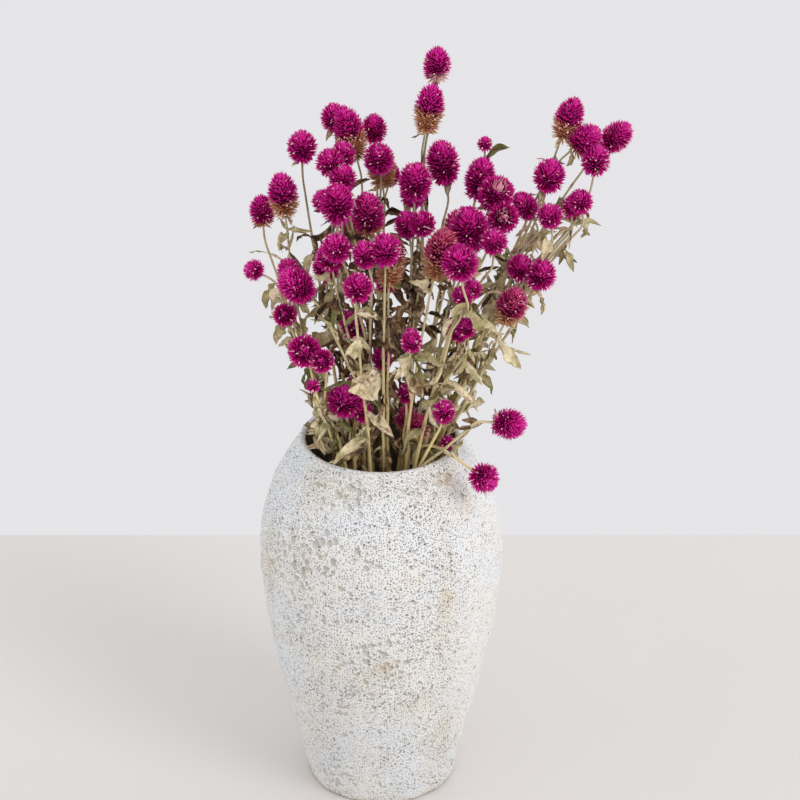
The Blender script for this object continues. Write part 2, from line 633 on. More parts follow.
def shoot_route(fork, mouth, base, axis, centre):
    """Straight up to the mouth, then in a curve to the head, over the lip if the head hangs low."""
    aside = mouth - centre
    first = fork + unit(np.array((0, 0, 1.0)) + FORK_OPENING * unit(aside)) * FORK_LENGTH
    inside = np.vstack((fork, straight(first, mouth)))
    rising = unit(unit(mouth - fork) + RISING_TURN * unit(base - mouth))
    if not droops(base):
        return np.vstack((inside[:-1], curve_between(mouth, rising, base, axis)))
    out = unit(np.array((base[0], base[1], 0)))
    over = out * (MOUTH_RADIUS + LIP_RADIUS) + np.array((0, 0, VASE_HEIGHT + LIP_PASS))
    climb = curve_between(mouth, rising, over, out)
    return np.vstack((inside[:-1], climb[:-1], curve_between(over, out, base, axis)))


def branch(plant, points, parent, base, axis, head):
    """A branch that leaves its shoot some way below its head."""
    low = max(BRANCH_LOWEST, base[2] - BRANCH_DROP * max(base[2] - VASE_HEIGHT, LEAST_CLIMB))
    open_part = points[:-3]
    joint = int(np.argmin(np.abs(open_part[:, 2] - low)))
    joint = max(joint, 1)
    along = unit(points[joint + 1] - points[joint])
    aside = base - points[joint]
    aside = unit(aside - aside.dot(along) * along)
    leaving = unit(along + BRANCH_SPREAD * aside)
    route = curve_between(points[joint], leaving, base, axis)
    return Tube(plant, route, BRANCH_RADIUS, NECK_RADIUS, (parent, joint), head)


def closest(p0, p1, q0, q1):
    """For each pair of segments, the vector from the near point of q to that of p, and shares."""
    d, e, r = p1 - p0, q1 - q0, p0 - q0
    a = np.einsum("ij,ij->i", d, d) + 1e-12
    c = np.einsum("ij,ij->i", e, e) + 1e-12
    b = np.einsum("ij,ij->i", d, e)
    f = np.einsum("ij,ij->i", d, r)
    g = np.einsum("ij,ij->i", e, r)
    s = np.clip((b * g - c * f) / np.maximum(a * c - b * b, 1e-14), 0, 1)
    t = np.clip((b * s + g) / c, 0, 1)
    s = np.clip((b * t - f) / a, 0, 1)
    return p0 + s[:, None] * d - q0 - t[:, None] * e, s, t


class Weave:
    """Every tube's points in one array, bent clear of heads, of other plants and of the vase."""

    def __init__(self, tubes, bunch):
        self.tubes, self.bunch = tubes, bunch
        sizes = [len(tube.points) for tube in tubes]
        self.starts = np.concatenate(([0], np.cumsum(sizes)))
        self.points = np.vstack([tube.points for tube in tubes])
        plants = list(PLANTS)
        self.plant = np.concatenate([
            np.full(size, plants.index(tube.plant)) for size, tube in zip(sizes, tubes)])
        self.head = np.concatenate([
            np.full(size, -1 if tube.head is None else tube.head)
            for size, tube in zip(sizes, tubes)])
        self.radius = np.concatenate([
            tube_radii(tube) for tube in tubes])
        self.segments = np.concatenate([
            np.arange(start, end - 1) for start, end in zip(self.starts, self.starts[1:])])
        self.tube = np.concatenate([np.full(size, index) for index, size in enumerate(sizes)])
        self.free = np.ones(len(self.points), bool)
        self.ends = np.zeros(len(self.points), bool)
        for start, end, tube in zip(self.starts, self.starts[1:], tubes):
            self.ends[[start, end - 1]] = True
            self.free[start] = False
            self.free[start + 1 if tube.head is None else max(start, end - 2):end] = False
            if tube.head is None:
                self.free[start + 2:end] = True
            elif droops(tube.points[-1]):
                self.free[start:end] = tube.points[:, 2] < VASE_HEIGHT - 3 * SAMPLE_STEP

    def pairs(self):
        """Segments of different tubes that lie near each other, away from a shared joint."""
        middle = (self.points[self.segments] + self.points[self.segments + 1]) / 2
        away = np.linalg.norm(middle[:, None] - middle[None], axis=2)
        tube, plant = self.tube[self.segments], self.plant[self.segments]
        jointed = np.zeros(len(middle), bool)
        for start, piece in zip(self.starts, self.tubes):
            if piece.parent:
                near = np.linalg.norm(middle - self.points[start], axis=1) < JOINT_REACH
                jointed |= near & (plant == self.plant[start])
        free = ~jointed[:, None] & ~jointed[None] | (plant[:, None] != plant[None])
        near = (away < PAIR_REACH) & (tube[:, None] < tube[None]) & free
        return np.nonzero(near)

    def push_stems(self, move, pairs):
        one, other = self.segments[pairs[0]], self.segments[pairs[1]]
        gap, s, t = closest(self.points[one], self.points[one + 1],
                            self.points[other], self.points[other + 1])
        away = np.linalg.norm(gap, axis=1) + 1e-9
        room = self.radius[one] + self.radius[other] + STEM_CLEARANCE
        push = gap / away[:, None] * np.maximum(room - away, 0)[:, None] / 2
        for index, share, sign in ((one, 1 - s, 1), (one + 1, s, 1),
                                   (other, 1 - t, -1), (other + 1, t, -1)):
            np.add.at(move, index, sign * push * share[:, None])

    def push_heads(self, move):
        bodies = ~self.bunch.neck
        centres, sizes = self.bunch.centres()[bodies], self.bunch.size[bodies]
        owner = self.bunch.owner[bodies]
        start, end = self.points[self.segments], self.points[self.segments + 1]
        along = end - start
        length = np.einsum("ij,ij->i", along, along) + 1e-12
        share = np.einsum("ijk,ik->ij", centres[None] - start[:, None], along) / length[:, None]
        share = np.clip(share, 0, 1)
        gap = start[:, None] + share[..., None] * along[:, None] - centres[None]
        away = np.linalg.norm(gap, axis=2) + 1e-9
        room = sizes[None] + self.radius[self.segments][:, None] + STEM_CLEARANCE / 2
        own = self.head[self.segments][:, None] == owner[None]
        short = np.where(own, 0, np.maximum(room - away, 0))
        push = gap / away[..., None] * short[..., None]
        np.add.at(move, self.segments, (push * (1 - share)[..., None]).sum(axis=1))
        np.add.at(move, self.segments + 1, (push * share[..., None]).sum(axis=1))

    def push_vase(self, move):
        """Keeps the stems off the lip and within the wall."""
        flat = np.hypot(self.points[:, 0], self.points[:, 1]) + 1e-9
        outward = np.column_stack((self.points[:, :2] / flat[:, None], np.zeros(len(flat))))
        lip = outward * (MOUTH_RADIUS + LIP_RADIUS)
        lip[:, 2] = VASE_HEIGHT - LIP_RADIUS
        gap = self.points - lip
        away = np.linalg.norm(gap, axis=1) + 1e-9
        room = LIP_RADIUS + self.radius + 2 * STEM_CLEARANCE
        move += gap / away[:, None] * np.maximum(room - away, 0)[:, None]
        inner = np.minimum(vase_outer(self.points[:, 2]) - VASE_WALL, 1)
        over = flat + self.radius + 2 * STEM_CLEARANCE - inner
        low = self.points[:, 2] < VASE_HEIGHT - 2 * LIP_RADIUS
        inside = flat < MOUTH_RADIUS + 2 * LIP_RADIUS
        move -= outward * np.where(low & inside, np.maximum(over, 0), 0)[:, None]

    def relax(self):
        for turn in range(RELAX_ROUNDS):
            if turn % PAIR_ROUNDS == 0:
                pairs = self.pairs()
            move = np.zeros_like(self.points)
            self.push_stems(move, pairs)
            self.push_heads(move)
            self.push_vase(move)
            smooth = np.zeros_like(self.points)
            smooth[1:-1] = (self.points[:-2] + self.points[2:]) / 2 - self.points[1:-1]
            smooth[self.ends] = 0
            move += STIFFNESS * smooth
            move = np.clip(move, -LARGEST_STEP, LARGEST_STEP)
            self.points[self.free] += RELAX_STEP * move[self.free]
            for tube, start in zip(self.tubes, self.starts):
                if tube.parent:
                    self.points[start] = self.points[self.starts[tube.parent[0]] + tube.parent[1]]

    def routes(self):
        """The bent tubes, and again with as few points as keep the plants clear of each other."""
        full = [tube._replace(points=self.points[start:end].copy())
                for tube, start, end in zip(self.tubes, self.starts, self.starts[1:])]
        slack = np.full(len(full), STEM_SLACK)
        for _ in range(SLACK_ROUNDS):
            kept = [thinned(tube, room) for tube, room in zip(full, slack)]
            crowded = self.crowded(full, kept)
            if not crowded:
                break
            slack[crowded] /= 2
        return full, [tube._replace(points=tube.points[places], radii=tube_radii(tube)[places])
                      for tube, places in zip(full, kept)]

    def crowded(self, full, kept):
        """The tubes that come too near a tube of another plant once they are thinned."""
        first, second, radius, owner = [], [], [], []
        for index, (tube, places) in enumerate(zip(full, kept)):
            points, radii = tube.points[places], tube_radii(tube)[places]
            first.append(points[:-1])
            second.append(points[1:])
            radius.append(radii[:-1])
            owner += [index] * (len(points) - 1)
        first, second, radius = np.vstack(first), np.vstack(second), np.concatenate(radius)
        owner = np.array(owner)
        plants = list(PLANTS)
        plant = np.array([plants.index(full[index].plant) for index in owner])
        one, other = np.nonzero(plant[:, None] < plant[None])
        gap, _, _ = closest(first[one], second[one], first[other], second[other])
        close = np.linalg.norm(gap, axis=1) < radius[one] + radius[other] + STEM_APART
        return sorted(set(owner[one[close]]) | set(owner[other[close]]))


def tube_radii(tube):
    return np.linspace(tube.thick, tube.thin, len(tube.points))


def thinned(tube, slack):
    """Places of the tube's points, less those nearly straight between their neighbours."""
    points, kept = tube.points, [0]
    last = len(points) - 1
    while kept[-1] < last:
        start = kept[-1]
        for end in range(last, start, -1):
            share = np.linspace(0, 1, end - start + 1)[:, None]
            line = points[start] + share * (points[end] - points[start])
            off = np.linalg.norm(points[start:end + 1] - line, axis=1).max()
            if off < slack or end == start + 1:
                kept.append(end)
                break
    return kept


def leaf_lines(root, aim, up, length, width, curl, wave, draw, twist_range=LEAF_TWIST):
    """The two edges and the rib of a curling leaf, root first, and the blade's normals."""
    side = unit(np.cross(aim, up))
    normal = unit(np.cross(side, aim))
    place, lines = root.copy(), []
    fold = math.radians(draw.uniform(*LEAF_FOLD))
    twist = math.radians(draw.uniform(-twist_range, twist_range)) / len(LEAF_WIDTHS)
    bend = math.radians(curl) / len(LEAF_WIDTHS)
    for index, share in enumerate(LEAF_WIDTHS):
        ripple = wave * (1 if index % 2 else -1) * share
        half = width / 2 * share
        spread = side * math.cos(fold) * half
        raised = normal * math.sin(fold) * half
        lines.append((place - spread + raised + normal * ripple, place.copy(),
                      place + spread + raised - normal * ripple, normal.copy()))
        aim, normal = (unit(aim * math.cos(bend) - normal * math.sin(bend)),
                       unit(normal * math.cos(bend) + aim * math.sin(bend)))
        side = unit(side * math.cos(twist) + normal * math.sin(twist))
        normal = unit(np.cross(side, aim))
        place = place + aim * length / (len(LEAF_WIDTHS) - 1)
    return lines


def leaf_shell(lines, thickness):
    """Points and triangles of the blade: thickest along its rib, split alike on both faces."""
    vertices, faces = [], []
    for left, rib, right, normal in lines:
        thick = normal * thickness / 2
        vertices += [left, rib + thick, right, rib - thick]
    for row in range(len(lines) - 1):
        for one in range(4):
            a, b = 4 * row + one, 4 * row + (one + 1) % 4
            c, d = a + 4, b + 4
            faces += [(a, b, d), (a, d, c)] if one in (0, 3) else [(a, b, c), (b, d, c)]
    last = 4 * (len(lines) - 1)
    faces += [(0, 3, 2), (0, 2, 1), (last, last + 1, last + 2), (last, last + 2, last + 3)]
    return vertices, faces


def tree_of(vertices, faces):
    return BVHTree.FromPolygons([Vector(vertex) for vertex in vertices], faces)


def joined_tree(meshes):
    """One tree of many meshes, and for each of its faces the number of the mesh it is from."""
    vertices, faces, owners = [], [], []
    for number, (points, sides) in enumerate(meshes):
        faces += [tuple(corner + len(vertices) for corner in side) for side in sides]
        vertices += list(points)
        owners += [number] * len(sides)
    return tree_of(vertices, faces), owners


def crosses_itself(vertices, faces):
    tree = tree_of(vertices, faces)
    return any(not set(faces[one]) & set(faces[other]) for one, other in tree.overlap(tree))


class Foliage:
    """Places the leaves. The solids' own keep clear of all else, the added ones may cross leaves."""

    def __init__(self, routes, slim_routes, heads):
        self.routes, self.draw = routes, random.Random(LEAF_SEED)
        self.heads = heads
        self.blocks = [tree_of(*head) for head in heads]
        self.stems = [self.stem_mesh(slim) for slim in slim_routes]
        self.trees = [(tube, tree_of(*mesh)) for tube, mesh in zip(routes, self.stems)]
        self.eye = np.array((EYE_RIGHT, -EYE_BACK, EYE_UP))
        front = [head for head in HEADS if head.depth < 0]
        middles = np.array([seen_at(head.column, head.row, head.depth * MM) for head in front])
        wide = [leaf for leaf in LONG_LEAVES if leaf[3] >= SHOWN_WIDTH]
        middles = np.vstack((middles, [seen_at(*leaf[:2], leaf[2] * MM) for leaf in wide]))
        self.far = np.linalg.norm(middles - self.eye, axis=1)
        self.sights = (middles - self.eye) / self.far[:, None]
        self.discs = np.array([SHOWN_HEAD * head.width * MM for head in front]
                              + [SHOWN_LEAF * leaf[3] * MM for leaf in wide])
        self.leaves = {plant: [] for plant in PLANTS}

    def stem_mesh(self, tube):
        """A square tube a little wider than the stem."""
        vertices, faces = [], []
        radii = tube.radii * 1.5 + 2 * GAP
        across = unit(np.cross(tube.points[-1] - tube.points[0], (0.3, 0.9, 0.1)))
        for index, (point, radius) in enumerate(zip(tube.points, radii)):
            ahead = tube.points[min(index + 1, len(tube.points) - 1)]
            behind = tube.points[max(index - 1, 0)]
            other = unit(np.cross(unit(ahead - behind), across))
            vertices += [point + radius * vector for vector in (across, other, -across, -other)]
            if index:
                base = 4 * index - 4
                faces += [(base + k, base + (k + 1) % 4, base + 4 + (k + 1) % 4, base + 4 + k)
                          for k in range(4)]
        return vertices, faces

    def clear(self, own, lines):
        """Whether a leaf, taken a little larger, keeps off all but the stem it grows from."""
        if min(point[2] for line in lines for point in line[:3]) < VASE_HEIGHT + 2 * MM:
            return False
        if crosses_itself(*leaf_shell(lines, LEAF_THICKNESS)):
            return False
        grown = []
        for left, rib, right, normal in lines:
            out = unit(right - left) * 2 * GAP
            grown.append((left - out, rib, right + out, normal))
        tree = tree_of(*leaf_shell(grown, LEAF_THICKNESS + 4 * GAP))
        others = [other for tube, other in self.trees if tube is not own]
        return not any(tree.overlap(block) for block in self.blocks + others)

    def add(self, own, lines, age):
        self.leaves[own.plant].append((lines, age, None))
        self.blocks.append(tree_of(*leaf_shell(lines, LEAF_THICKNESS + 4 * GAP)))

    def place_long(self):
        """The hand-placed leaves, each from the nearest stem to its tip."""
        for (column, row, depth, width, curl), age in zip(LONG_LEAVES, LONG_AGES):
            tip = seen_at(column, row, depth * MM)
            for _ in range(LEAF_TRIES):
                shifted = tip + np.array([self.draw.uniform(-1, 1) for _ in range(3)]) * TIP_PLAY
                found = self.nearest_root(shifted)
                if found and self.try_leaf(*found, shifted, width * MM, curl, age):
                    break

    def nearest_root(self, tip):
        best = None
        for tube in self.routes:
            away = np.linalg.norm(tube.points[1:-1] - tip, axis=1)
            away = np.where((away < LEAF_SHORTEST) | (tube.points[1:-1, 2] < VASE_HEIGHT), 9, away)
            if len(away) and away.min() < (best[0] if best else LEAF_LONGEST):
                best = (away.min(), tube, int(away.argmin()) + 1)
        return best[1:] if best else None

    def try_leaf(self, tube, index, tip, width, curl, age):
        root = tube.points[index]
        length = np.linalg.norm(tip - root) * LEAF_STRETCH
        aim = unit(tip - root)
        up = np.array((self.draw.uniform(-0.6, 0.6), self.draw.uniform(-0.9, -0.1), 1.0))
        wave = self.draw.uniform(*LONG_LEAF_WAVES) * MM
        lines = leaf_lines(root, aim, up, length, width, curl, wave, self.draw)
        if not self.clear(tube, lines):
            return False
        self.add(tube, lines, age)
        return True

    def place_small(self):
        """Single leaves down the shoots and in the forks, above the mouth."""
        for tube in self.routes:
            if tube.head is None:
                continue
            travelled = way_along(tube.points)
            if tube.thick <= BRANCH_RADIUS:
                places = [LEAF_IN_FORK] if self.draw.random() < FORK_LEAF_SHARE else []
            else:
                places = np.arange(travelled[-1] - self.draw.uniform(0.3, 1) * LEAF_STEP,
                                   LEAF_IN_FORK, -LEAF_STEP)
            for place in places:
                index = int(np.searchsorted(travelled, place))
                if 0 < index < len(tube.points) - 1 and tube.points[index][2] > LEAF_LOWEST:
                    self.place_one(tube, index)

    def place_one(self, tube, index):
        along = unit(tube.points[index + 1] - tube.points[index - 1])
        across = unit(np.cross(along, (0.2, 0.1, 1.0)))
        other = np.cross(along, across)
        for _ in range(LEAF_TRIES):
            angle = self.draw.uniform(0, 2 * math.pi)
            out = spoke(angle, across, other)
            aim = unit(out + along * self.draw.uniform(-0.5, 0.9))
            length = self.draw.uniform(*LEAF_LENGTHS) * MM
            width = length * self.draw.uniform(*LEAF_SLIMNESS)
            curl = self.draw.uniform(*LEAF_CURLS)
            wave = self.draw.uniform(*LEAF_WAVES) * MM
            lines = leaf_lines(tube.points[index], aim, along, length, width, curl, wave, self.draw)
            if self.clear(tube, lines):
                self.add(tube, lines, None)
                return

    def hides_head(self, lines):
        """Whether a leaf lies before a front head or a wide leaf, as the view shows them."""
        reach = np.array([point for line in lines for point in line[:3]]) - self.eye
        along = reach @ self.sights.T
        aside = (reach ** 2).sum(axis=1)[:, None] - along ** 2
        return ((aside < self.discs ** 2) & (along < self.far)).any()

    def place_edge(self, draw, heads, stems, owners):
        """Leaves that fill the mouth beside the stems."""
        roots = [(number, point) for number, tube in enumerate(self.routes)
                 for point in tube.points[1:-1] if EDGE_ROOTS[0] < point[2] < EDGE_ROOTS[1]]
        for column, row, depth in EDGE_LEAVES:
            tip = seen_at(column, row, depth * MM)
            near = sorted(roots, key=lambda root: np.linalg.norm(root[1] - tip))[:EDGE_NEAREST]
            for _ in range(EDGE_TRIES):
                number, root = draw.choice(near)
                end = tip + np.array([draw.uniform(-1, 1) for _ in range(3)]) * EDGE_PLAY
                up = np.array((draw.uniform(-0.6, 0.6), draw.uniform(-0.9, -0.1), 1.0))
                length = np.linalg.norm(end - root) * LEAF_STRETCH
                lines = leaf_lines(root, unit(end - root), up, length,
                                   length * draw.uniform(*EDGE_SLIMNESS), draw.uniform(*EDGE_CURLS), 0,
                                   draw, MORE_TWIST)
                if self.fits(number, lines, heads, stems, owners):
                    self.leaves[self.routes[number].plant].append((lines, None, draw.uniform(*MORE_CREASE)))
                    break

    def place_more(self):
        """Crumpled leaves, in pairs, thickest in the mouth and between it and the heads."""
        draw = random.Random(MORE_SEED)
        heads, _ = joined_tree(self.heads)
        stems, owners = joined_tree(self.stems)
        self.place_edge(draw, heads, stems, owners)
        spots = [(number, index) for number, tube in enumerate(self.routes)
                 for index in range(1, len(tube.points) - 1)]
        for _ in range(MORE_PLACES):
            number, index = draw.choice(spots)
            tube = self.routes[number]
            share = draw.random()
            root = tube.points[index] * share + tube.points[index + 1] * (1 - share)
            if draw.random() > np.interp(root[2], *MORE_HEIGHTS):
                continue
            along = unit(tube.points[index + 1] - tube.points[index - 1])
            across = unit(np.cross(along, (0.2, 0.1, 1.0)))
            other = np.cross(along, across)
            turn = draw.uniform(0, 2 * math.pi)
            for side in (0, math.pi):
                for _ in range(MORE_TRIES):
                    angle = turn + side + draw.gauss(0, 0.5)
                    out = spoke(angle, across, other)
                    aim = unit(out * MORE_OUTWARD + along * draw.uniform(*MORE_RISE))
                    length = draw.uniform(*MORE_LENGTHS) * MM
                    width = length * draw.uniform(*MORE_SLIMNESS)
                    lines = leaf_lines(root, aim, along, length, width, draw.uniform(*MORE_CURLS), 0,
                                       draw, MORE_TWIST)
                    if not self.hides_head(lines) and self.fits(number, lines, heads, stems, owners):
                        crease, age = draw.uniform(*MORE_CREASE), None
                        middle = BUNCH_LEAN * (root[2] - VASE_HEIGHT)
                        if math.hypot(root[0] - middle, root[1]) < np.interp(root[2], *INNER_REACH):
                            age = draw.uniform(*INNER_AGES)
                        self.leaves[tube.plant].append((lines, age, crease))
                        break

    def fits(self, number, lines, heads, stems, owners):
        """Whether a thin leaf keeps off the heads, the vase and every stem but its own."""
        for line in lines:
            for x, y, z in line[:3]:
                if z < VASE_HEIGHT + INSIDE_ROOM and math.hypot(x, y) > MOUTH_RADIUS - INSIDE_ROOM:
                    return False
        tree = tree_of(*leaf_shell(lines, LEAF_THICKNESS))
        if tree.overlap(heads):
            return False
        own = self.routes[number].plant
        near = (number,) + (self.routes[number].parent or ())[:1]
        return all(owners[face] in near or self.routes[owners[face]].parent
                   and self.routes[owners[face]].parent[0] == number
                   and self.routes[owners[face]].plant == own
                   for _, face in tree.overlap(stems))


class Shape:
    """Gathers points, faces and the values at the points, and makes one mesh piece of them."""

    def __init__(self):
        self.points, self.corners, self.sizes, self.kinds = [], [], [], []
        self.values = {name: [] for name in POINT_VALUES}
        self.count = 0

    def add(self, points, faces, kind=0, **values):
        """faces holds rows of three or four corners, counted from the first of these points."""
        faces = np.asarray(faces)
        self.points.append(points)
        self.corners.append((faces + self.count).ravel())
        self.sizes.append(np.full(len(faces), faces.shape[1]))
        self.kinds.append(np.full(len(faces), kind))
        for name, held in self.values.items():
            held.append(np.broadcast_to(values.get(name, 0.0), len(points)))
        self.count += len(points)

    def piece(self, name, node, slot, materials, normals=None):
        mesh = bpy.data.meshes.new(name)
        points, corners = np.concatenate(self.points), np.concatenate(self.corners)
        sizes = np.concatenate(self.sizes)
        mesh.vertices.add(len(points))
        mesh.vertices.foreach_set("co", points.astype(np.float32).ravel())
        mesh.loops.add(len(corners))
        mesh.loops.foreach_set("vertex_index", corners.astype(np.int32))
        mesh.polygons.add(len(sizes))
        mesh.polygons.foreach_set("loop_start", (np.cumsum(sizes) - sizes).astype(np.int32))
        mesh.polygons.foreach_set("material_index", np.concatenate(self.kinds).astype(np.int32))
        mesh.update(calc_edges=True)
        mesh.shade_smooth()
        for value, held in self.values.items():
            made = mesh.attributes.new(value, "FLOAT", "POINT")
            made.data.foreach_set("value", np.concatenate(held).astype(np.float32))
        if normals is not None:
            mesh.normals_split_custom_set_from_vertices(normals)
        for material in materials:
            mesh.materials.append(material)
        obj = in_scene(name, mesh)
        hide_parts(node)
        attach(obj, "root")


def frame_of(axis):
    """Two directions square to the axis and to each other."""
    across = unit(np.cross(axis, (0.3, 0.9, 0.1)))
    return across, np.cross(axis, across)


def grid_faces(rows, columns, closed):
    """Quads of a grid of points kept row by row. A closed grid joins its last column to its first."""
    down, along = np.meshgrid(np.arange(rows - 1), np.arange(columns if closed else columns - 1),
                              indexing="ij")
    a = down * columns + along
    b = down * columns + (along + 1) % columns
    return np.stack((a, b, b + columns, a + columns), axis=-1).reshape(-1, 4)


def curve_through(points, counts):
    """Catmull-Rom points on the curve through rows of points, counts for each stretch."""
    padded = np.concatenate((2 * points[:1] - points[1:2], points, 2 * points[-1:] - points[-2:-1]))
    made = []
    for index, count in enumerate(counts):
        a, b, c, d = padded[index:index + 4]
        share = (np.arange(count) / count).reshape((-1,) + (1,) * (points.ndim - 1))
        made.append(0.5 * (2 * b + (c - a) * share + (2 * a - 5 * b + 4 * c - d) * share ** 2
                           + (3 * b - a - 3 * c + d) * share ** 3))
    return np.concatenate(made + [points[-1:]])


# Flower heads

def bract_form():
    """A folded, pointed bract: across, along and outwards, for a length and a half width of 1."""
    rows = [((-wide, along, -0.1 * wide), (0, along, keel), (wide, along, -0.1 * wide))
            for along, wide, keel in BRACT_ROWS]
    points = [point for row in rows for point in row] + [(0, 1, BRACT_TIP)]
    quads, last = [], 3 * (len(rows) - 1)
    for row in range(0, last, 3):
        quads += [(row, row + 1, row + 4, row + 3), (row + 1, row + 2, row + 5, row + 4)]
    tip = [(last, last + 1, last + 3), (last + 1, last + 2, last + 3)]
    return np.array(points, float), np.array(quads), np.array(tip)


def add_bracts(shape, roots, aims, faces_out, lengths, halves, straw, tone, pale):
    """Lays a bract on every root, pointing along its aim with its keel outwards."""
    points, quads, tips = bract_form()
    keel = unit_rows(faces_out - np.einsum("ij,ij->i", faces_out, aims)[:, None] * aims)
    side = np.cross(aims, keel)
    placed = (roots[:, None]
              + points[None, :, 0, None] * (side * halves[:, None])[:, None]
              + points[None, :, 1, None] * (aims * lengths[:, None])[:, None]
              + points[None, :, 2, None] * (keel * halves[:, None])[:, None])
    first = np.arange(len(roots))[:, None, None] * len(points)
    values = {
        "tip": np.tile(points[:, 1], len(roots)), "straw": np.repeat(straw, len(points)),
        "tone": np.repeat(tone, len(points)), "pale": np.repeat(pale, len(points)),
    }
    flat = placed.reshape(-1, 3)
    shape.add(flat, (quads[None] + first).reshape(-1, 4), **values)
    shape.add(flat[:0], (tips[None] + first - len(flat)).reshape(-1, 3))


def add_head(shape, head, place, axis, draw):
    """A dense ovoid of bracts in spiral order, with its core and flecks. Gives two ways across it."""
    wide = head.width * MM / 2
    long = max(head.length, head.width * SHORTEST_HEAD) * MM / 2
    scale = (head.width / FULL_SIZE) ** SIZE_POWER
    reach = BRACT_REACH * scale
    area = 4 * math.pi * wide * (wide + long) / 2
    count = int(area / (BRACT_SPACING * scale) ** 2)
    across, other = frame_of(axis)
    level = -0.96 + 1.95 * (np.arange(count) + 0.5) / count
    angle = np.arange(count) * GOLDEN_ANGLE + draw.uniform(0, 2 * math.pi)
    level += draw.normal(0, 0.012, count)
    level = np.clip(level, -0.98, 0.995)
    straw_top = -1 + 2 * head.faded + 0.1
    straw = np.clip((straw_top - level) / 0.35 + 0.5 + draw.normal(0, 0.16, count), 0, 1)
    if head.faded < 0.02:
        straw = np.clip(draw.normal(-0.1, 0.12, count), 0, 0.3)
    slim = 1 - 0.12 * np.maximum(level, 0) ** 2 - 0.05 * np.maximum(-level, 0) ** 3
    if head.faded > 0.2:
        slim *= 1 - 0.28 * np.maximum(-level, 0)
    ring = np.sqrt(1 - level ** 2) * slim
    radial = spokes(angle, across, other)
    roots = place + radial * (ring * (wide - reach))[:, None] + axis * (level * (long - reach))[:, None]
    out = unit_rows(radial * (ring / wide)[:, None] + axis * (level / long)[:, None])
    tipward = unit_rows(axis - out * (out @ axis)[:, None], 1e-6)
    lean = np.radians(BRACT_LEAN + STRAW_LEAN * straw + draw.normal(0, 7, count))
    lean -= np.radians(BASE_SPREAD) * np.clip(-level - 0.55, 0, 1) * (1 - straw)
    aims = out * np.cos(lean)[:, None] + tipward * np.sin(lean)[:, None]
    aims = unit_rows(aims + draw.normal(0, 0.11, (count, 3)))
    lengths = BRACT_LENGTH * scale * draw.uniform(0.86, 1.16, count) * (1 + 0.3 * straw)
    lengths *= 1 - 0.22 * np.clip(level - 0.7, 0, 1)
    halves = BRACT_WIDTH / 2 * scale * draw.uniform(0.85, 1.15, count) * (1 - 0.1 * straw)
    tone = draw.uniform(0, 1, count)
    straw = np.maximum(straw, DUSKY.get(head.name, 0) * draw.uniform(0.6, 1.3, count))
    worn = WORN_TIPS.get(head.name, 0)
    pale = np.clip((level - 1 + 2 * worn) / 0.1, 0, 0.85) * (draw.uniform(0, 1, count) < 0.75)
    torn = PALE_BASES.get(head.name, 0)
    if torn:
        pale = np.clip((-1 + 2 * torn - level) / 0.15, 0, 1) * (radial @ np.array((1, -0.6, 0)) > -0.2)
    add_bracts(shape, roots, aims, out, lengths, halves, straw, tone, pale)
    fleck = (draw.uniform(0, 1, count) < FLECK_SHARE) & (level > -0.6)
    number = int(fleck.sum())
    if number:
        lift = aims[fleck] * (lengths[fleck] * 0.55)[:, None]
        add_bracts(shape, roots[fleck] + lift, unit_rows(out[fleck] + draw.normal(0, 0.3, (number, 3))),
                   aims[fleck] + 0.01, np.full(number, FLECK_LENGTH), np.full(number, FLECK_WIDTH),
                   np.zeros(number), np.ones(number), np.ones(number))
    turns = np.linspace(0, 2 * math.pi, CORE_SIDES, endpoint=False)
    heights = np.cos(np.linspace(math.pi, 0, CORE_ROWS))
    ring = np.sqrt(np.maximum(1 - heights ** 2, 0)) * (wide - reach + 0.35 * MM)
    wheel = spokes(turns, across, other)
    core = place + wheel[None] * ring[:, None, None] + (axis * heights[:, None])[:, None] * (long - reach)
    low = np.repeat(np.clip((straw_top - heights) / 0.3, 0, 1), CORE_SIDES) * (head.faded >= 0.02)
    shape.add(core.reshape(-1, 3), grid_faces(CORE_ROWS, CORE_SIDES, True), straw=low, tone=0.2)
    return across, other


def add_collar(shape, head, place, axis, sides, draw):
    """The two small leafy bracts under a head."""
    base = place - axis * (max(head.length, head.width * SHORTEST_HEAD) * MM / 2 - 0.6 * MM)
    turn = draw.uniform(0, math.pi)
    for half in (0, math.pi):
        angle = turn + half + draw.normal(0, 0.2)
        out = spoke(angle, *sides)
        aim = unit(out + axis * draw.uniform(-0.5, 0.35))
        length = head.width * MM * draw.uniform(0.42, 0.62)
        lines = leaf_lines(base, aim, axis, length, length * draw.uniform(0.45, 0.65),
                           draw.uniform(-50, 60), 0.3 * MM, random.Random(int(draw.integers(1e6))))
        add_leaf(shape, lines, 6, 5, draw, draw.uniform(0.3, 0.8), LEAF_CREASE)


# Stems and leaves

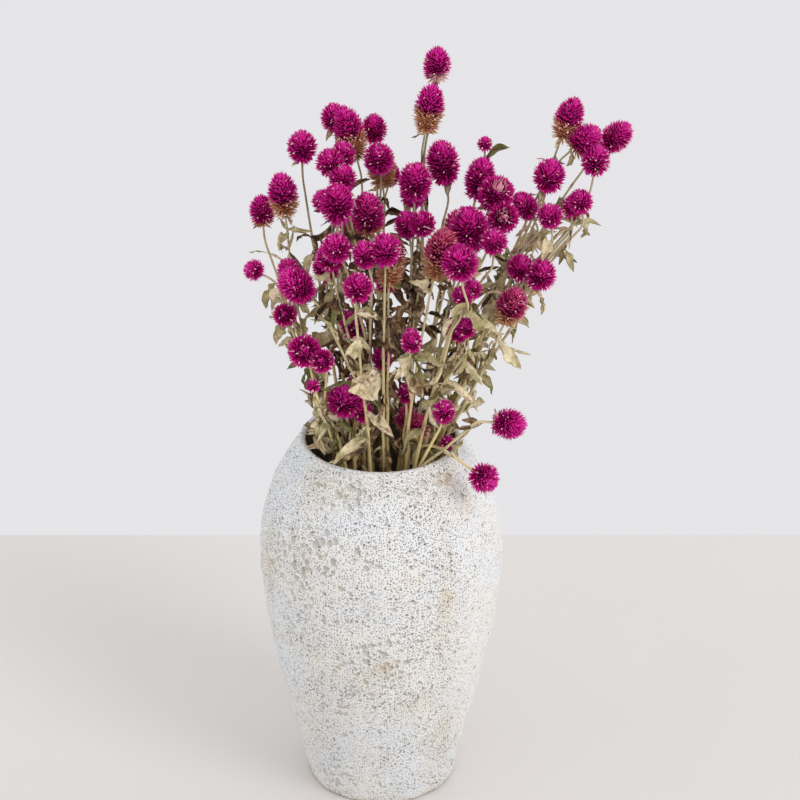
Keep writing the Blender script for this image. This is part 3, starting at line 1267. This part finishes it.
def add_stem(shape, tube, axis, draw):
    """A round tapering stem with swollen joints and slight bends in it."""
    points = tube.points
    if axis is not None:
        points = np.vstack((points, points[-1] + axis * STEM_INTO_HEAD))
    counts = [max(1, int(round(np.linalg.norm(b - a) / STEM_STEP))) for a, b in zip(points, points[1:])]
    line = curve_through(points, counts)
    steps = way_along(line)
    radius = np.interp(steps, (0, steps[-1]), (tube.thick, tube.thin))
    joint = draw.uniform(0.3, 1) * JOINT_SPACING
    swell = np.zeros(len(line))
    while joint < steps[-1] - 12 * MM:
        swell += np.exp(-((steps - joint) / JOINT_LENGTH) ** 2)
        side = unit(draw.normal(0, 1, 3))
        line += side * (BEND * np.exp(-((steps - joint) / (JOINT_SPACING / 3)) ** 2))[:, None]
        joint += draw.uniform(0.7, 1.3) * JOINT_SPACING
    if tube.parent:
        line[0] = tube.points[0]
    radius = radius * (1 + JOINT_SWELL * swell) * (1 + draw.normal(0, 0.03, len(line)))
    radius *= np.interp(line[:, 2], *STEM_SLIMNESS)
    along = unit_rows(np.gradient(line, axis=0))
    across, rings = frame_of(along[0])[0], []
    turns = np.linspace(0, 2 * math.pi, STEM_SIDES, endpoint=False)
    ridges = 1 + 0.07 * np.cos(3 * turns)
    for point, way, thick in zip(line, along, radius):
        across = unit(across - across.dot(way) * way)
        other = np.cross(way, across)
        rings.append(point + thick * ridges[:, None] * spokes(turns, across, other))
    height = np.repeat(line[:, 2], STEM_SIDES)
    shape.add(np.concatenate(rings), grid_faces(len(line), STEM_SIDES, True),
              age=np.clip((height - 0.24) / 0.2, 0, 1), tip=np.repeat(swell, STEM_SIDES),
              tone=draw.uniform(0, 1))
    if axis is None:
        end = np.vstack((rings[0], line[0]))
        fan = [((k + 1) % STEM_SIDES, k, STEM_SIDES) for k in range(STEM_SIDES)]
        shape.add(end, fan, tone=0.5)


def crumple(rows, columns, cells, draw, around=False):
    """Smooth random heights over a grid, from this many cells along it and across it."""
    def spread(values, count):
        place = np.linspace(0, len(values) - 1, count)
        low = np.minimum(place.astype(int), len(values) - 2)
        share = place - low
        share = (share * share * (3 - 2 * share))[:, None]
        return values[low] * (1 - share) + values[low + 1] * share

    values = draw.normal(0, 1, (cells[0] + 1, cells[1] + 1))
    if around:
        values[:, -1] = values[:, 0]
        return spread(spread(values, rows).T, columns + 1).T[:, :-1]
    return spread(spread(values, rows).T, columns).T


def add_leaf(shape, lines, rows, columns, draw, age, crease, rolls=LEAF_ROLL):
    """A dried leaf over the five lines: crumpled, with its edges rolled in."""
    left, rib, right, normal = (np.array([line[k] for line in lines]) for k in range(4))
    counts = [rows // 4 + (rows % 4 > k) for k in range(4)]
    left, rib, right, normal = (curve_through(part, counts) for part in (left, rib, right, normal))
    count = len(rib)
    share = np.linspace(0, 1, count)
    u = np.linspace(-1, 1, columns)
    roll = draw.uniform(*rolls) * (1 if draw.uniform() < 0.7 else -1)
    bend = abs(roll) * np.abs(u)
    out, up = np.sin(bend) / abs(roll), (1 - np.cos(bend)) / abs(roll)
    edge = np.where(u[None, :, None] < 0, (left - rib)[:, None], (right - rib)[:, None])
    half = np.linalg.norm(edge, axis=2)
    width = half.max() * 2
    ends = np.clip(np.minimum(share * 5, (1 - share) * 7), 0, 1)[:, None]
    torn = 1 + 0.09 * ends * crumple(count, columns, (7, 2), draw)
    surface = rib[:, None] + edge * (out[None] * torn)[..., None]
    surface += normal[:, None] * (half * up)[..., None] * math.copysign(1, roll)
    lift = crumple(count, columns, (5, 3), draw) + 0.6 * crumple(count, columns, (9, 5), draw)
    lift = ends * width * (crease * lift - 0.05 * np.exp(-(u / 0.2) ** 2))
    surface += normal[:, None] * lift[..., None]
    aside = ends * width * crease * crumple(count, columns, (6, 3), draw)
    along = unit_rows(np.gradient(rib, axis=0), 1e-9)
    surface += along[:, None] * (0.5 * aside)[..., None]
    surface += np.cross(along, normal)[:, None] * (0.3 * aside[:, ::-1])[..., None]
    shape.add(surface.reshape(-1, 3), grid_faces(count, columns, False), kind=1, age=age,
              tip=np.repeat(share, columns), straw=np.tile(np.abs(u), count),
              tone=draw.uniform(0, 1))


def leaf_age(draw):
    pick = draw.uniform()
    for share, low, high in LEAF_AGES:
        if pick < share:
            return draw.uniform(low, high)


# Vase

def vase_curve(heights):
    """The smooth outer radius at these heights."""
    known = np.array([(share * VASE_HEIGHT, radius) for share, radius in VASE_OUTLINE])
    known = np.vstack(((0, VASE_FOOT_RADIUS), known, (VASE_HEIGHT, MOUTH_RADIUS + LIP_RADIUS)))
    fine = curve_through(known, [20] * (len(known) - 1))
    return np.interp(heights, fine[:, 0], fine[:, 1])


def on_vase(column, row):
    """Angle about the axis and height of the vase's surface at this pixel of the view."""
    for depth in np.arange(-80, 20, 0.5) * MM:
        x, y, z = seen_at(column, row, depth)
        if 0 < z < VASE_HEIGHT and math.hypot(x, y) < vase_curve(z):
            return math.atan2(y, x), z
    return None


def crater_list(draw):
    """Angle, height, radius and depth of each crater: clusters that the view shows, then all round."""
    found = []

    def dig(angle, height, radius, depth):
        """Adds a crater unless it would cut into another."""
        for other in found:
            aside = turn_between(other[0], angle) * PORE_RADIUS
            if math.hypot(aside, other[1] - height) < CRATER_ROOM * (other[2] + radius):
                return
        found.append((angle, height, radius, depth))

    for column, row, spread, count, size in CRATER_CLUSTERS:
        for _ in range(int(CLUSTER_CROWD * count)):
            place = on_vase(column + draw.normal(0, spread), row + draw.normal(0, spread))
            if place:
                radius = size * MM * draw.uniform(*SEEN_RADII)
                dig(*place, radius, radius * draw.uniform(*CLUSTER_DEPTHS))
    for _ in range(LOOSE_CLUSTERS):
        middle, height = draw.uniform(-math.pi, math.pi), draw.uniform(0.02, 0.95) * VASE_HEIGHT
        if FRONT_ANGLES[0] < middle < FRONT_ANGLES[1]:
            continue
        for _ in range(int(draw.integers(*LOOSE_COUNTS))):
            radius = draw.uniform(*LOOSE_RADII) * MM
            dig(middle + draw.normal(0, 0.1), height + draw.normal(0, 7) * MM,
                radius, radius * draw.uniform(*CLUSTER_DEPTHS))
    for _ in range(LOOSE_CRATERS):
        radius = (0.9 + 0.9 * draw.uniform() ** 4) * MM
        dig(draw.uniform(-math.pi, math.pi), draw.uniform(0.01, 0.97) * VASE_HEIGHT,
            radius, radius * draw.uniform(*LOOSE_DEPTHS))
    return found


def add_vase(draw):
    """The pitted vase: a fine grid outside and over the lip, a plain wall and floor inside."""
    foot = VASE_FOOT_RADIUS
    bottom = [(foot - 12 * MM, 0.0, 0), (foot - 5 * MM, 0.0, 0), (foot - 1.2 * MM, 0.0, 0.3)]
    heights = np.linspace(1.0 * MM, VASE_HEIGHT - 2 * LIP_RADIUS, VASE_ROWS)
    outer = [(vase_curve(z), z, 1.0) for z in heights]
    centre = MOUTH_RADIUS + LIP_RADIUS, VASE_HEIGHT - LIP_RADIUS
    lip = [(centre[0] + LIP_RADIUS * math.cos(a), centre[1] + LIP_RADIUS * math.sin(a), 0.25)
           for a in np.radians(np.linspace(-10, 190, 9))]
    outer[-1] = (*outer[-1][:2], 0.5)
    down = [0.965, 0.93, 0.89, 0.84, 0.76, 0.64, 0.48, 0.3, 0.14]
    inner = [(vase_curve(share * VASE_HEIGHT) - VASE_WALL * (0.55 if share > 0.95 else 1),
              share * VASE_HEIGHT, 0.25) for share in down]
    inner += [(foot - VASE_WALL, VASE_FLOOR + 3 * MM, 0), (foot - VASE_WALL - 4 * MM, VASE_FLOOR, 0)]
    profile = np.array(bottom + outer + lip + inner)
    turns = np.linspace(-math.pi, math.pi, VASE_COLUMNS, endpoint=False)
    radius = np.repeat(profile[:, :1], VASE_COLUMNS, axis=1)
    height = np.repeat(profile[:, 1:2], VASE_COLUMNS, axis=1)
    rough = profile[:, 2:3]
    sink, side = np.zeros_like(radius), np.zeros_like(radius)
    edge = np.full_like(radius, NO_CRATER * MM)
    first, last = len(bottom), len(bottom) + len(outer) + 4
    for angle, middle, size, depth in crater_list(draw):
        rows = np.nonzero(np.abs(profile[first:last, 1] - middle) < CRATER_REACH * size)[0] + first
        apart = turn_between(turns, angle)
        columns = np.nonzero(np.abs(apart) * foot < CRATER_REACH * size)[0]
        if not len(rows) or not len(columns):
            continue
        block = np.ix_(rows, columns)
        squash = draw.uniform(0.8, 1.2)
        right = apart[columns][None] * radius[block] * squash / size
        above = (height[block] - middle) / squash / size
        away = np.hypot(right, above)
        within = (1 - away) * size
        side[block] = np.where(within > edge[block], 0.5 * right + 0.85 * above, side[block])
        edge[block] = np.maximum(edge[block], within)
        bowl = np.clip(1 - away ** 3, 0, 1) * depth
        rim = RIM_HEIGHT * depth * np.exp(-((away - RIM_PLACE) / RIM_WIDTH) ** 2)
        sink[block] = np.maximum(sink[block], bowl) - rim * (sink[block] <= 0)
    lumps = sum(size * MM * np.sin(turns[None] * way + height / MM * rise + start)
                for size, way, rise, start in LUMPS)
    for *cells, size in RELIEF:
        lumps = lumps + size * crumple(len(profile), VASE_COLUMNS, cells, draw, around=True)
    radius = radius - (sink + lumps) * rough
    points = np.stack((radius * np.cos(turns), radius * np.sin(turns), height), axis=-1)
    edge = np.where(rough > 0.9, edge / MM, NO_CRATER)
    warm = np.zeros_like(radius)
    for column, row, wide, tall, strength in STAINS:
        place = on_vase(column, row)
        apart = turn_between(turns, place[0])
        warm += strength * np.exp(-(apart[None] * radius / (wide * MM)) ** 2
                                  - ((height - place[1]) / (tall * MM)) ** 2)
    warm += 0.9 * np.exp(-height / (2.5 * MM)) * rough
    inside = np.zeros_like(radius)
    inside[last + 5:] = 1
    travelled = way_along(profile[:, :2])
    turned = np.roll(points, -1, axis=1) - np.roll(points, 1, axis=1)
    normals = np.cross(turned, np.gradient(points, axis=0))
    normals /= np.linalg.norm(normals, axis=2)[..., None]
    glaze = glaze_material()
    for name, start, end, closing, centre in (
            ("vase_lower", 0, VASE_SPLIT + 1, 0, 0.0),
            ("vase_upper", VASE_SPLIT, len(profile), -1, VASE_FLOOR)):
        shape = Shape()
        rows = slice(start, end)
        shape.add(points[rows].reshape(-1, 3), grid_faces(end - start, VASE_COLUMNS, True),
                  tip=edge[rows].ravel(), pale=side[rows].ravel(),
                  straw=np.clip(warm[rows], 0, 1).ravel(), age=np.repeat(travelled[rows], VASE_COLUMNS),
                  tone=inside[rows].ravel())
        ring = np.arange(VASE_COLUMNS) + (end - start - 1 if closing else 0) * VASE_COLUMNS
        hub = np.full(VASE_COLUMNS, shape.count)
        ahead = np.roll(ring, -1)
        fan = (ring, ahead, hub) if closing else (ahead, ring, hub)
        shape.add(np.array([(0, 0, centre)]), np.stack(fan, axis=1) - shape.count, tip=NO_CRATER,
                  tone=float(-closing))
        facing = np.vstack((normals[rows].reshape(-1, 3), (0, 0, -1.0 - 2 * closing)))
        shape.piece(name, "vase", "vase_glaze", [glaze], facing)


# Materials

class Surface:
    """One material, built node by node. Textures lie in the object's own metres."""

    def __init__(self, name, **fixed):
        self.material = bpy.data.materials.new(name)
        self.material.use_nodes = True
        self.tree = self.material.node_tree
        self.shader = self.tree.nodes["Principled BSDF"]
        for key, value in fixed.items():
            self.shader.inputs[key.replace("_", " ")].default_value = value
        self.place = self.add("TexCoord").outputs["Object"]

    def add(self, kind, inputs=(), **settings):
        made = self.tree.nodes.new("ShaderNode" + kind)
        for key, value in settings.items():
            setattr(made, key, value)
        for key, value in dict(inputs).items():
            self.put(made.inputs[key], value)
        return made

    def put(self, socket, value):
        if isinstance(value, bpy.types.NodeSocket):
            self.tree.links.new(value, socket)
        else:
            socket.default_value = value

    def value(self, name):
        return self.add("Attribute", attribute_name=name).outputs["Fac"]

    def noise(self, scale, detail=3, stretch=(1, 1, 1)):
        place = self.place
        if stretch != (1, 1, 1):
            place = self.add("Mapping", {"Vector": place, "Scale": stretch}).outputs[0]
        return self.add("TexNoise", {"Vector": place, "Scale": scale, "Detail": detail,
                                     "Roughness": 0.6}).outputs["Fac"]

    def math(self, operation, one, other=0.0, clamp=False):
        return self.add("Math", {0: one, 1: other}, operation=operation, use_clamp=clamp).outputs[0]

    def times(self, one, other):
        return self.math("MULTIPLY", one, other)

    def smooth(self, value, low, high, start=0.0, end=1.0):
        return self.add("MapRange", {"Value": value, "From Min": low, "From Max": high, "To Min": start,
                                     "To Max": end}, interpolation_type="SMOOTHSTEP").outputs[0]

    def ramp(self, value, *stops):
        made = self.add("ValToRGB", {"Fac": value})
        elements = made.color_ramp.elements
        while len(elements) < len(stops):
            elements.new(0.5)
        for element, (place, colour) in zip(elements, stops):
            element.position = place
            element.color = (*colour, 1)
        return made.outputs["Color"]

    def mix(self, share, one, other, blend="MIX"):
        made = self.add("Mix", {0: share}, data_type="RGBA", blend_type=blend)
        for socket, value in ((made.inputs[6], one), (made.inputs[7], other)):
            self.put(socket, value if isinstance(value, bpy.types.NodeSocket) else (*value, 1))
        return made.outputs[2]

    def pores(self, scale, share, least, most, crowd):
        """Colour and depth of round pits in a share of a pattern's cells, laid over a round body."""
        x, y, _ = self.add("SeparateXYZ", {0: self.place}).outputs
        around = self.math("ARCTAN2", x, self.times(y, -1.0))
        flat = self.add("CombineXYZ", {0: self.times(around, PORE_RADIUS), 1: self.value("age")})
        cell = self.add("TexVoronoi", {"Vector": flat.outputs[0], "Scale": scale, "Randomness": 0.85},
                        voronoi_dimensions="2D")
        chance = self.math("ADD", self.add("SeparateColor", {0: cell.outputs["Color"]}).outputs[0], crowd)
        radius = self.smooth(chance, 1 - share, 1.0, least, most)
        there = self.math("GREATER_THAN", chance, 1 - share)
        inside = self.math("SUBTRACT", radius, cell.outputs["Distance"])
        return [self.times(self.smooth(inside, low, high), there)
                for low, high in ((-0.02, 0.1), (-0.08, 0.2))]

    def bump(self, height, distance, strength=1.0):
        made = self.add("Bump", {"Strength": strength, "Distance": distance, "Height": height})
        self.tree.links.new(made.outputs[0], self.shader.inputs["Normal"])

    def done(self, colour, roughness):
        self.put(self.shader.inputs["Base Color"], colour)
        self.put(self.shader.inputs["Roughness"], roughness)
        return self.material


def glaze_material():
    """Matt white glaze: fine dark pores, cool and beige patches, dirt in the craters."""
    s = Surface("pitted_white_glaze", Specular_IOR_Level=0.25)
    base = s.mix(s.smooth(s.noise(26, 4), 0.42, 0.62), (0.90, 0.875, 0.84), (0.87, 0.885, 0.91))
    base = s.mix(s.smooth(s.noise(900, 2), 0.38, 0.62, 0, 0.2), base, (0.80, 0.79, 0.78))
    warm = s.times(s.value("straw"), s.smooth(s.noise(70, 4), 0.25, 0.6))
    warm = s.math("ADD", warm, s.smooth(s.noise(17, 3), 0.56, 0.74, 0, 0.3), clamp=True)
    base = s.mix(s.times(warm, 0.8), base, (0.74, 0.61, 0.43))
    # "tip" is the distance in mm from a crater's edge to the inside, "pale" how high in it a point is
    edge, side = s.value("tip"), s.value("pale")
    pit = s.mix(s.smooth(s.noise(55, 2), 0.45, 0.6), (0.50, 0.49, 0.465), (0.52, 0.42, 0.29))
    inside = s.smooth(edge, -0.12, 0.2)
    base = s.mix(s.times(inside, 0.5), base, pit)
    rim = s.times(s.smooth(edge, -0.75, -0.1), s.math("SUBTRACT", 1.0, inside))
    base = s.mix(s.times(rim, s.smooth(side, -1.0, -0.1, 0.9, 0)), base, (1.0, 0.99, 0.975))
    shade = s.times(inside, s.smooth(edge, 0.25, 0.9, 1, 0))
    shade = s.times(shade, s.smooth(side, -0.1, 0.6, 0, 0.9))
    # The side that faces the light is the smoothest
    calm = s.smooth(s.add("SeparateXYZ", {0: s.place}).outputs[0], 0.034, 0.062, 0, -0.35)
    crowd = s.math("ADD", s.smooth(s.noise(40, 3), 0.35, 0.68, -0.12, 0.14), calm)
    fine, fine_bowl = s.pores(650, 0.9, 0.16, 0.3, crowd)
    middle, middle_bowl = s.pores(340, 0.12, 0.15, 0.26, crowd)
    glazed = s.math("SUBTRACT", 1.0, s.math("ADD", s.value("tone"), inside, clamp=True))
    dark = s.math("MAXIMUM", s.times(fine, 0.56), s.times(middle, 0.7))
    dark = s.math("MAXIMUM", s.times(dark, glazed), shade)
    colour = s.mix(dark, base, s.mix(s.smooth(s.noise(220, 2), 0.4, 0.6), (0.24, 0.19, 0.14),
                                     (0.27, 0.25, 0.235)))
    colour = s.mix(s.times(s.value("tone"), 0.9), colour, (0.17, 0.14, 0.115))
    depth = s.math("ADD", s.times(fine_bowl, 0.6), middle_bowl)
    height = s.math("SUBTRACT", s.times(s.noise(620, 2), 0.4),
                    s.times(depth, glazed))
    s.bump(height, 0.0012)
    return s.done(colour, s.smooth(s.noise(300), 0.3, 0.7, 0.7, 0.88))


def bloom_material():
    """Papery bracts: dark magenta at the root, bright at the tip, straw where the head has aged."""
    s = Surface("magenta_bracts", Specular_IOR_Level=0.12, Sheen_Weight=0.3, Sheen_Roughness=0.5,
                Sheen_Tint=(0.75, 0.03, 0.42, 1))
    tip, straw, tone = s.value("tip"), s.value("straw"), s.value("tone")
    fresh = s.ramp(tip, (0.0, (0.07, 0.0005, 0.024)), (0.26, (0.44, 0.0015, 0.16)),
                   (0.56, (0.94, 0.008, 0.40)), (1.0, (1.0, 0.12, 0.66)))
    fresh = s.mix(1.0, fresh, s.ramp(tone, (0, (0.76, 0.6, 0.7)), (1, (1, 1, 1))), "MULTIPLY")
    red = s.ramp(tip, (0.0, (0.14, 0.008, 0.02)), (0.5, (0.55, 0.06, 0.10)), (1.0, (0.86, 0.26, 0.26)))
    dry = s.ramp(tip, (0.0, (0.50, 0.24, 0.10)), (0.35, (0.88, 0.52, 0.25)), (1.0, (1.0, 0.78, 0.48)))
    dry = s.mix(1.0, dry, s.ramp(tone, (0, (0.7, 0.6, 0.55)), (1, (1, 1, 1))), "MULTIPLY")
    colour = s.mix(s.smooth(straw, 0.0, 0.5), fresh, red)
    colour = s.mix(s.smooth(straw, 0.35, 0.9), colour, dry)
    colour = s.mix(s.value("pale"), colour, (1.0, 0.74, 0.68))
    s.bump(s.noise(2500, 2), 0.0001, 0.5)
    return s.done(colour, s.smooth(tone, 0, 1, 0.5, 0.7))


def stem_material():
    """Dry stems: straw low down, grey-tan under the heads, with fibres and brown joints."""
    s = Surface("dry_stem", Specular_IOR_Level=0.25)
    fibre = s.noise(14, 4, (60, 60, 4))
    age = s.math("ADD", s.value("age"), s.times(s.math("SUBTRACT", fibre, 0.5), 0.8))
    colour = s.ramp(age, (0.0, (0.88, 0.69, 0.31)), (0.45, (0.82, 0.70, 0.40)),
                    (0.8, (0.60, 0.54, 0.34)), (1.0, (0.34, 0.33, 0.20)))
    colour = s.mix(s.smooth(s.value("tone"), 0.5, 1, 0, 0.5), colour, (0.74, 0.66, 0.47))
    colour = s.mix(s.smooth(s.noise(60, 3), 0.5, 0.7, 0, 0.45), colour, (0.25, 0.15, 0.07))
    colour = s.mix(s.times(s.value("tip"), 0.45), colour, (0.22, 0.13, 0.06))
    s.bump(fibre, 0.0004, 0.6)
    return s.done(colour, s.smooth(fibre, 0.3, 0.7, 0.65, 0.85))


def leaf_material():
    """Dried leaves from olive through straw to brown, with veins, a pale rib and browned edges."""
    s = Surface("dry_leaf", Specular_IOR_Level=0.25, Sheen_Weight=0.1)
    along, side = s.value("tip"), s.value("straw")
    blotch = s.noise(130, 5)
    age = s.math("ADD", s.value("age"), s.times(s.math("SUBTRACT", blotch, 0.5), 1.1))
    colour = s.ramp(age, (0.0, (0.12, 0.12, 0.03)), (0.26, (0.32, 0.30, 0.11)),
                    (0.48, (0.60, 0.52, 0.27)), (0.70, (1.0, 0.86, 0.60)),
                    (0.86, (0.30, 0.16, 0.065)), (1.0, (0.06, 0.03, 0.014)))
    turns = s.math("ADD", s.times(along, VEINS), s.times(side, 1.1))
    vein = s.smooth(s.math("COSINE", s.times(turns, 2 * math.pi)), 0.75, 1.0)
    rib = s.smooth(side, 0.03, 0.12, 1.0, 0.0)
    colour = s.mix(s.times(s.math("MAXIMUM", s.times(vein, 0.5), rib), 0.35),
                   colour, (0.66, 0.54, 0.34))
    edge = s.times(s.smooth(side, 0.7, 1.0), s.smooth(s.noise(240, 2), 0.4, 0.65))
    colour = s.mix(s.times(edge, 0.6), colour, (0.20, 0.11, 0.05))
    height = s.math("ADD", s.times(s.math("MAXIMUM", vein, rib), 0.4), s.noise(420, 4))
    s.bump(height, 0.0006)
    return s.done(colour, s.smooth(blotch, 0.3, 0.7, 0.6, 0.85))


# Stage

def make_camera():
    lens = bpy.data.cameras.new("view")
    lens.sensor_width = SENSOR
    lens.lens = SENSOR * FOCAL_PIXELS / (2 * MIDDLE_PIXEL)
    lens.clip_start, lens.clip_end = 0.05, 50
    camera = in_scene("view", lens)
    camera.location = (EYE_RIGHT, -EYE_BACK, EYE_UP)
    camera.rotation_euler = (math.pi / 2 - EYE_PITCH, 0, 0)
    bpy.context.scene.camera = camera


def make_stage():
    """A pale floor that ends where the wall begins, a pale surround and one wide soft light."""
    mesh = bpy.data.meshes.new("floor")
    mesh.from_pydata([(x, y, 0) for x, y in ((-4, -6), (4, -6), (4, WALL), (-4, WALL))], [],
                     [(0, 1, 2, 3)])
    floor = in_scene("floor", mesh)
    s = Surface("pale_floor", Specular_IOR_Level=0.2)
    grain = s.mix(s.smooth(s.noise(3, 3), 0.3, 0.7), FLOOR_COLOUR, tuple(1.02 * c for c in FLOOR_COLOUR))
    mesh.materials.append(s.done(grain, 0.7))
    world = bpy.data.worlds.new("surround")
    world.use_nodes = True
    tree = world.node_tree
    shade = tree.nodes["Background"]
    shade.inputs["Color"].default_value = (*AMBIENT_COLOUR, 1)
    shade.inputs["Strength"].default_value = AMBIENT
    wall = tree.nodes.new("ShaderNodeBackground")
    wall.inputs["Color"].default_value = (*WALL_COLOUR, 1)
    choose = tree.nodes.new("ShaderNodeMixShader")
    path = tree.nodes.new("ShaderNodeLightPath")
    tree.links.new(path.outputs["Is Camera Ray"], choose.inputs[0])
    tree.links.new(shade.outputs[0], choose.inputs[1])
    tree.links.new(wall.outputs[0], choose.inputs[2])
    tree.links.new(choose.outputs[0], tree.nodes["World Output"].inputs[0])
    bpy.context.scene.world = world
    lamp = bpy.data.lights.new("window", "SUN")
    lamp.energy, lamp.angle, lamp.color = KEY_STRENGTH, KEY_SPREAD, KEY_COLOUR
    key = in_scene("window", lamp)
    key.rotation_euler = (-Vector(KEY_FROM)).to_track_quat("-Z", "Y").to_euler()
    bpy.context.scene.view_settings.view_transform = "Standard"


# The object

def build():
    bunch = Bunch()
    bunch.settle()
    weave = Weave(first_routes(bunch), bunch)
    weave.relax()
    routes, slim_routes = weave.routes()
    heads = [mesh_of(obj) for name, obj in sorted(frame["nodes"].items())
             if name.startswith("head_")]
    foliage = Foliage(routes, slim_routes, heads)
    foliage.place_long()
    foliage.place_small()
    foliage.place_more()
    add_vase(np.random.default_rng(VASE_SEED))
    stem, leaf, bloom = stem_material(), leaf_material(), bloom_material()
    draw = np.random.default_rng(LOOKS_SEED)
    for plant in PLANTS:
        shape = Shape()
        for tube in routes:
            if tube.plant == plant:
                axis = None if tube.head is None else bunch.axes[tube.head]
                add_stem(shape, tube, axis, draw)
        for lines, age, crease in foliage.leaves[plant]:
            age = age or leaf_age(draw)
            if crease:
                add_leaf(shape, lines, MORE_ROWS, MORE_COLUMNS, draw, age, crease, MORE_ROLL)
            else:
                add_leaf(shape, lines, LEAF_ROWS, LEAF_COLUMNS, draw, age, LEAF_CREASE)
        shape.piece("foliage_" + plant, "plant_" + plant, "dried_stem", [stem, leaf])
    for node in sorted({head.node for head in HEADS}):
        members = [index for index, head in enumerate(HEADS) if head.node == node]
        shape = Shape()
        for index in members:
            head, place, axis = HEADS[index], bunch.places[index], bunch.axes[index]
            sides = add_head(shape, head, place, axis, draw)
            if head.width > SMALLEST_COLLAR:
                add_collar(shape, head, place, axis, sides, draw)
        name = HEADS[members[0]].name
        shape.piece("bloom_" + name, "head_" + name, "bloom", [bloom, leaf])


def mesh_of(obj):
    mesh = obj.data
    return [tuple(vertex.co) for vertex in mesh.vertices], [tuple(face.vertices) for face in mesh.polygons]


make_camera()
build()
make_stage()
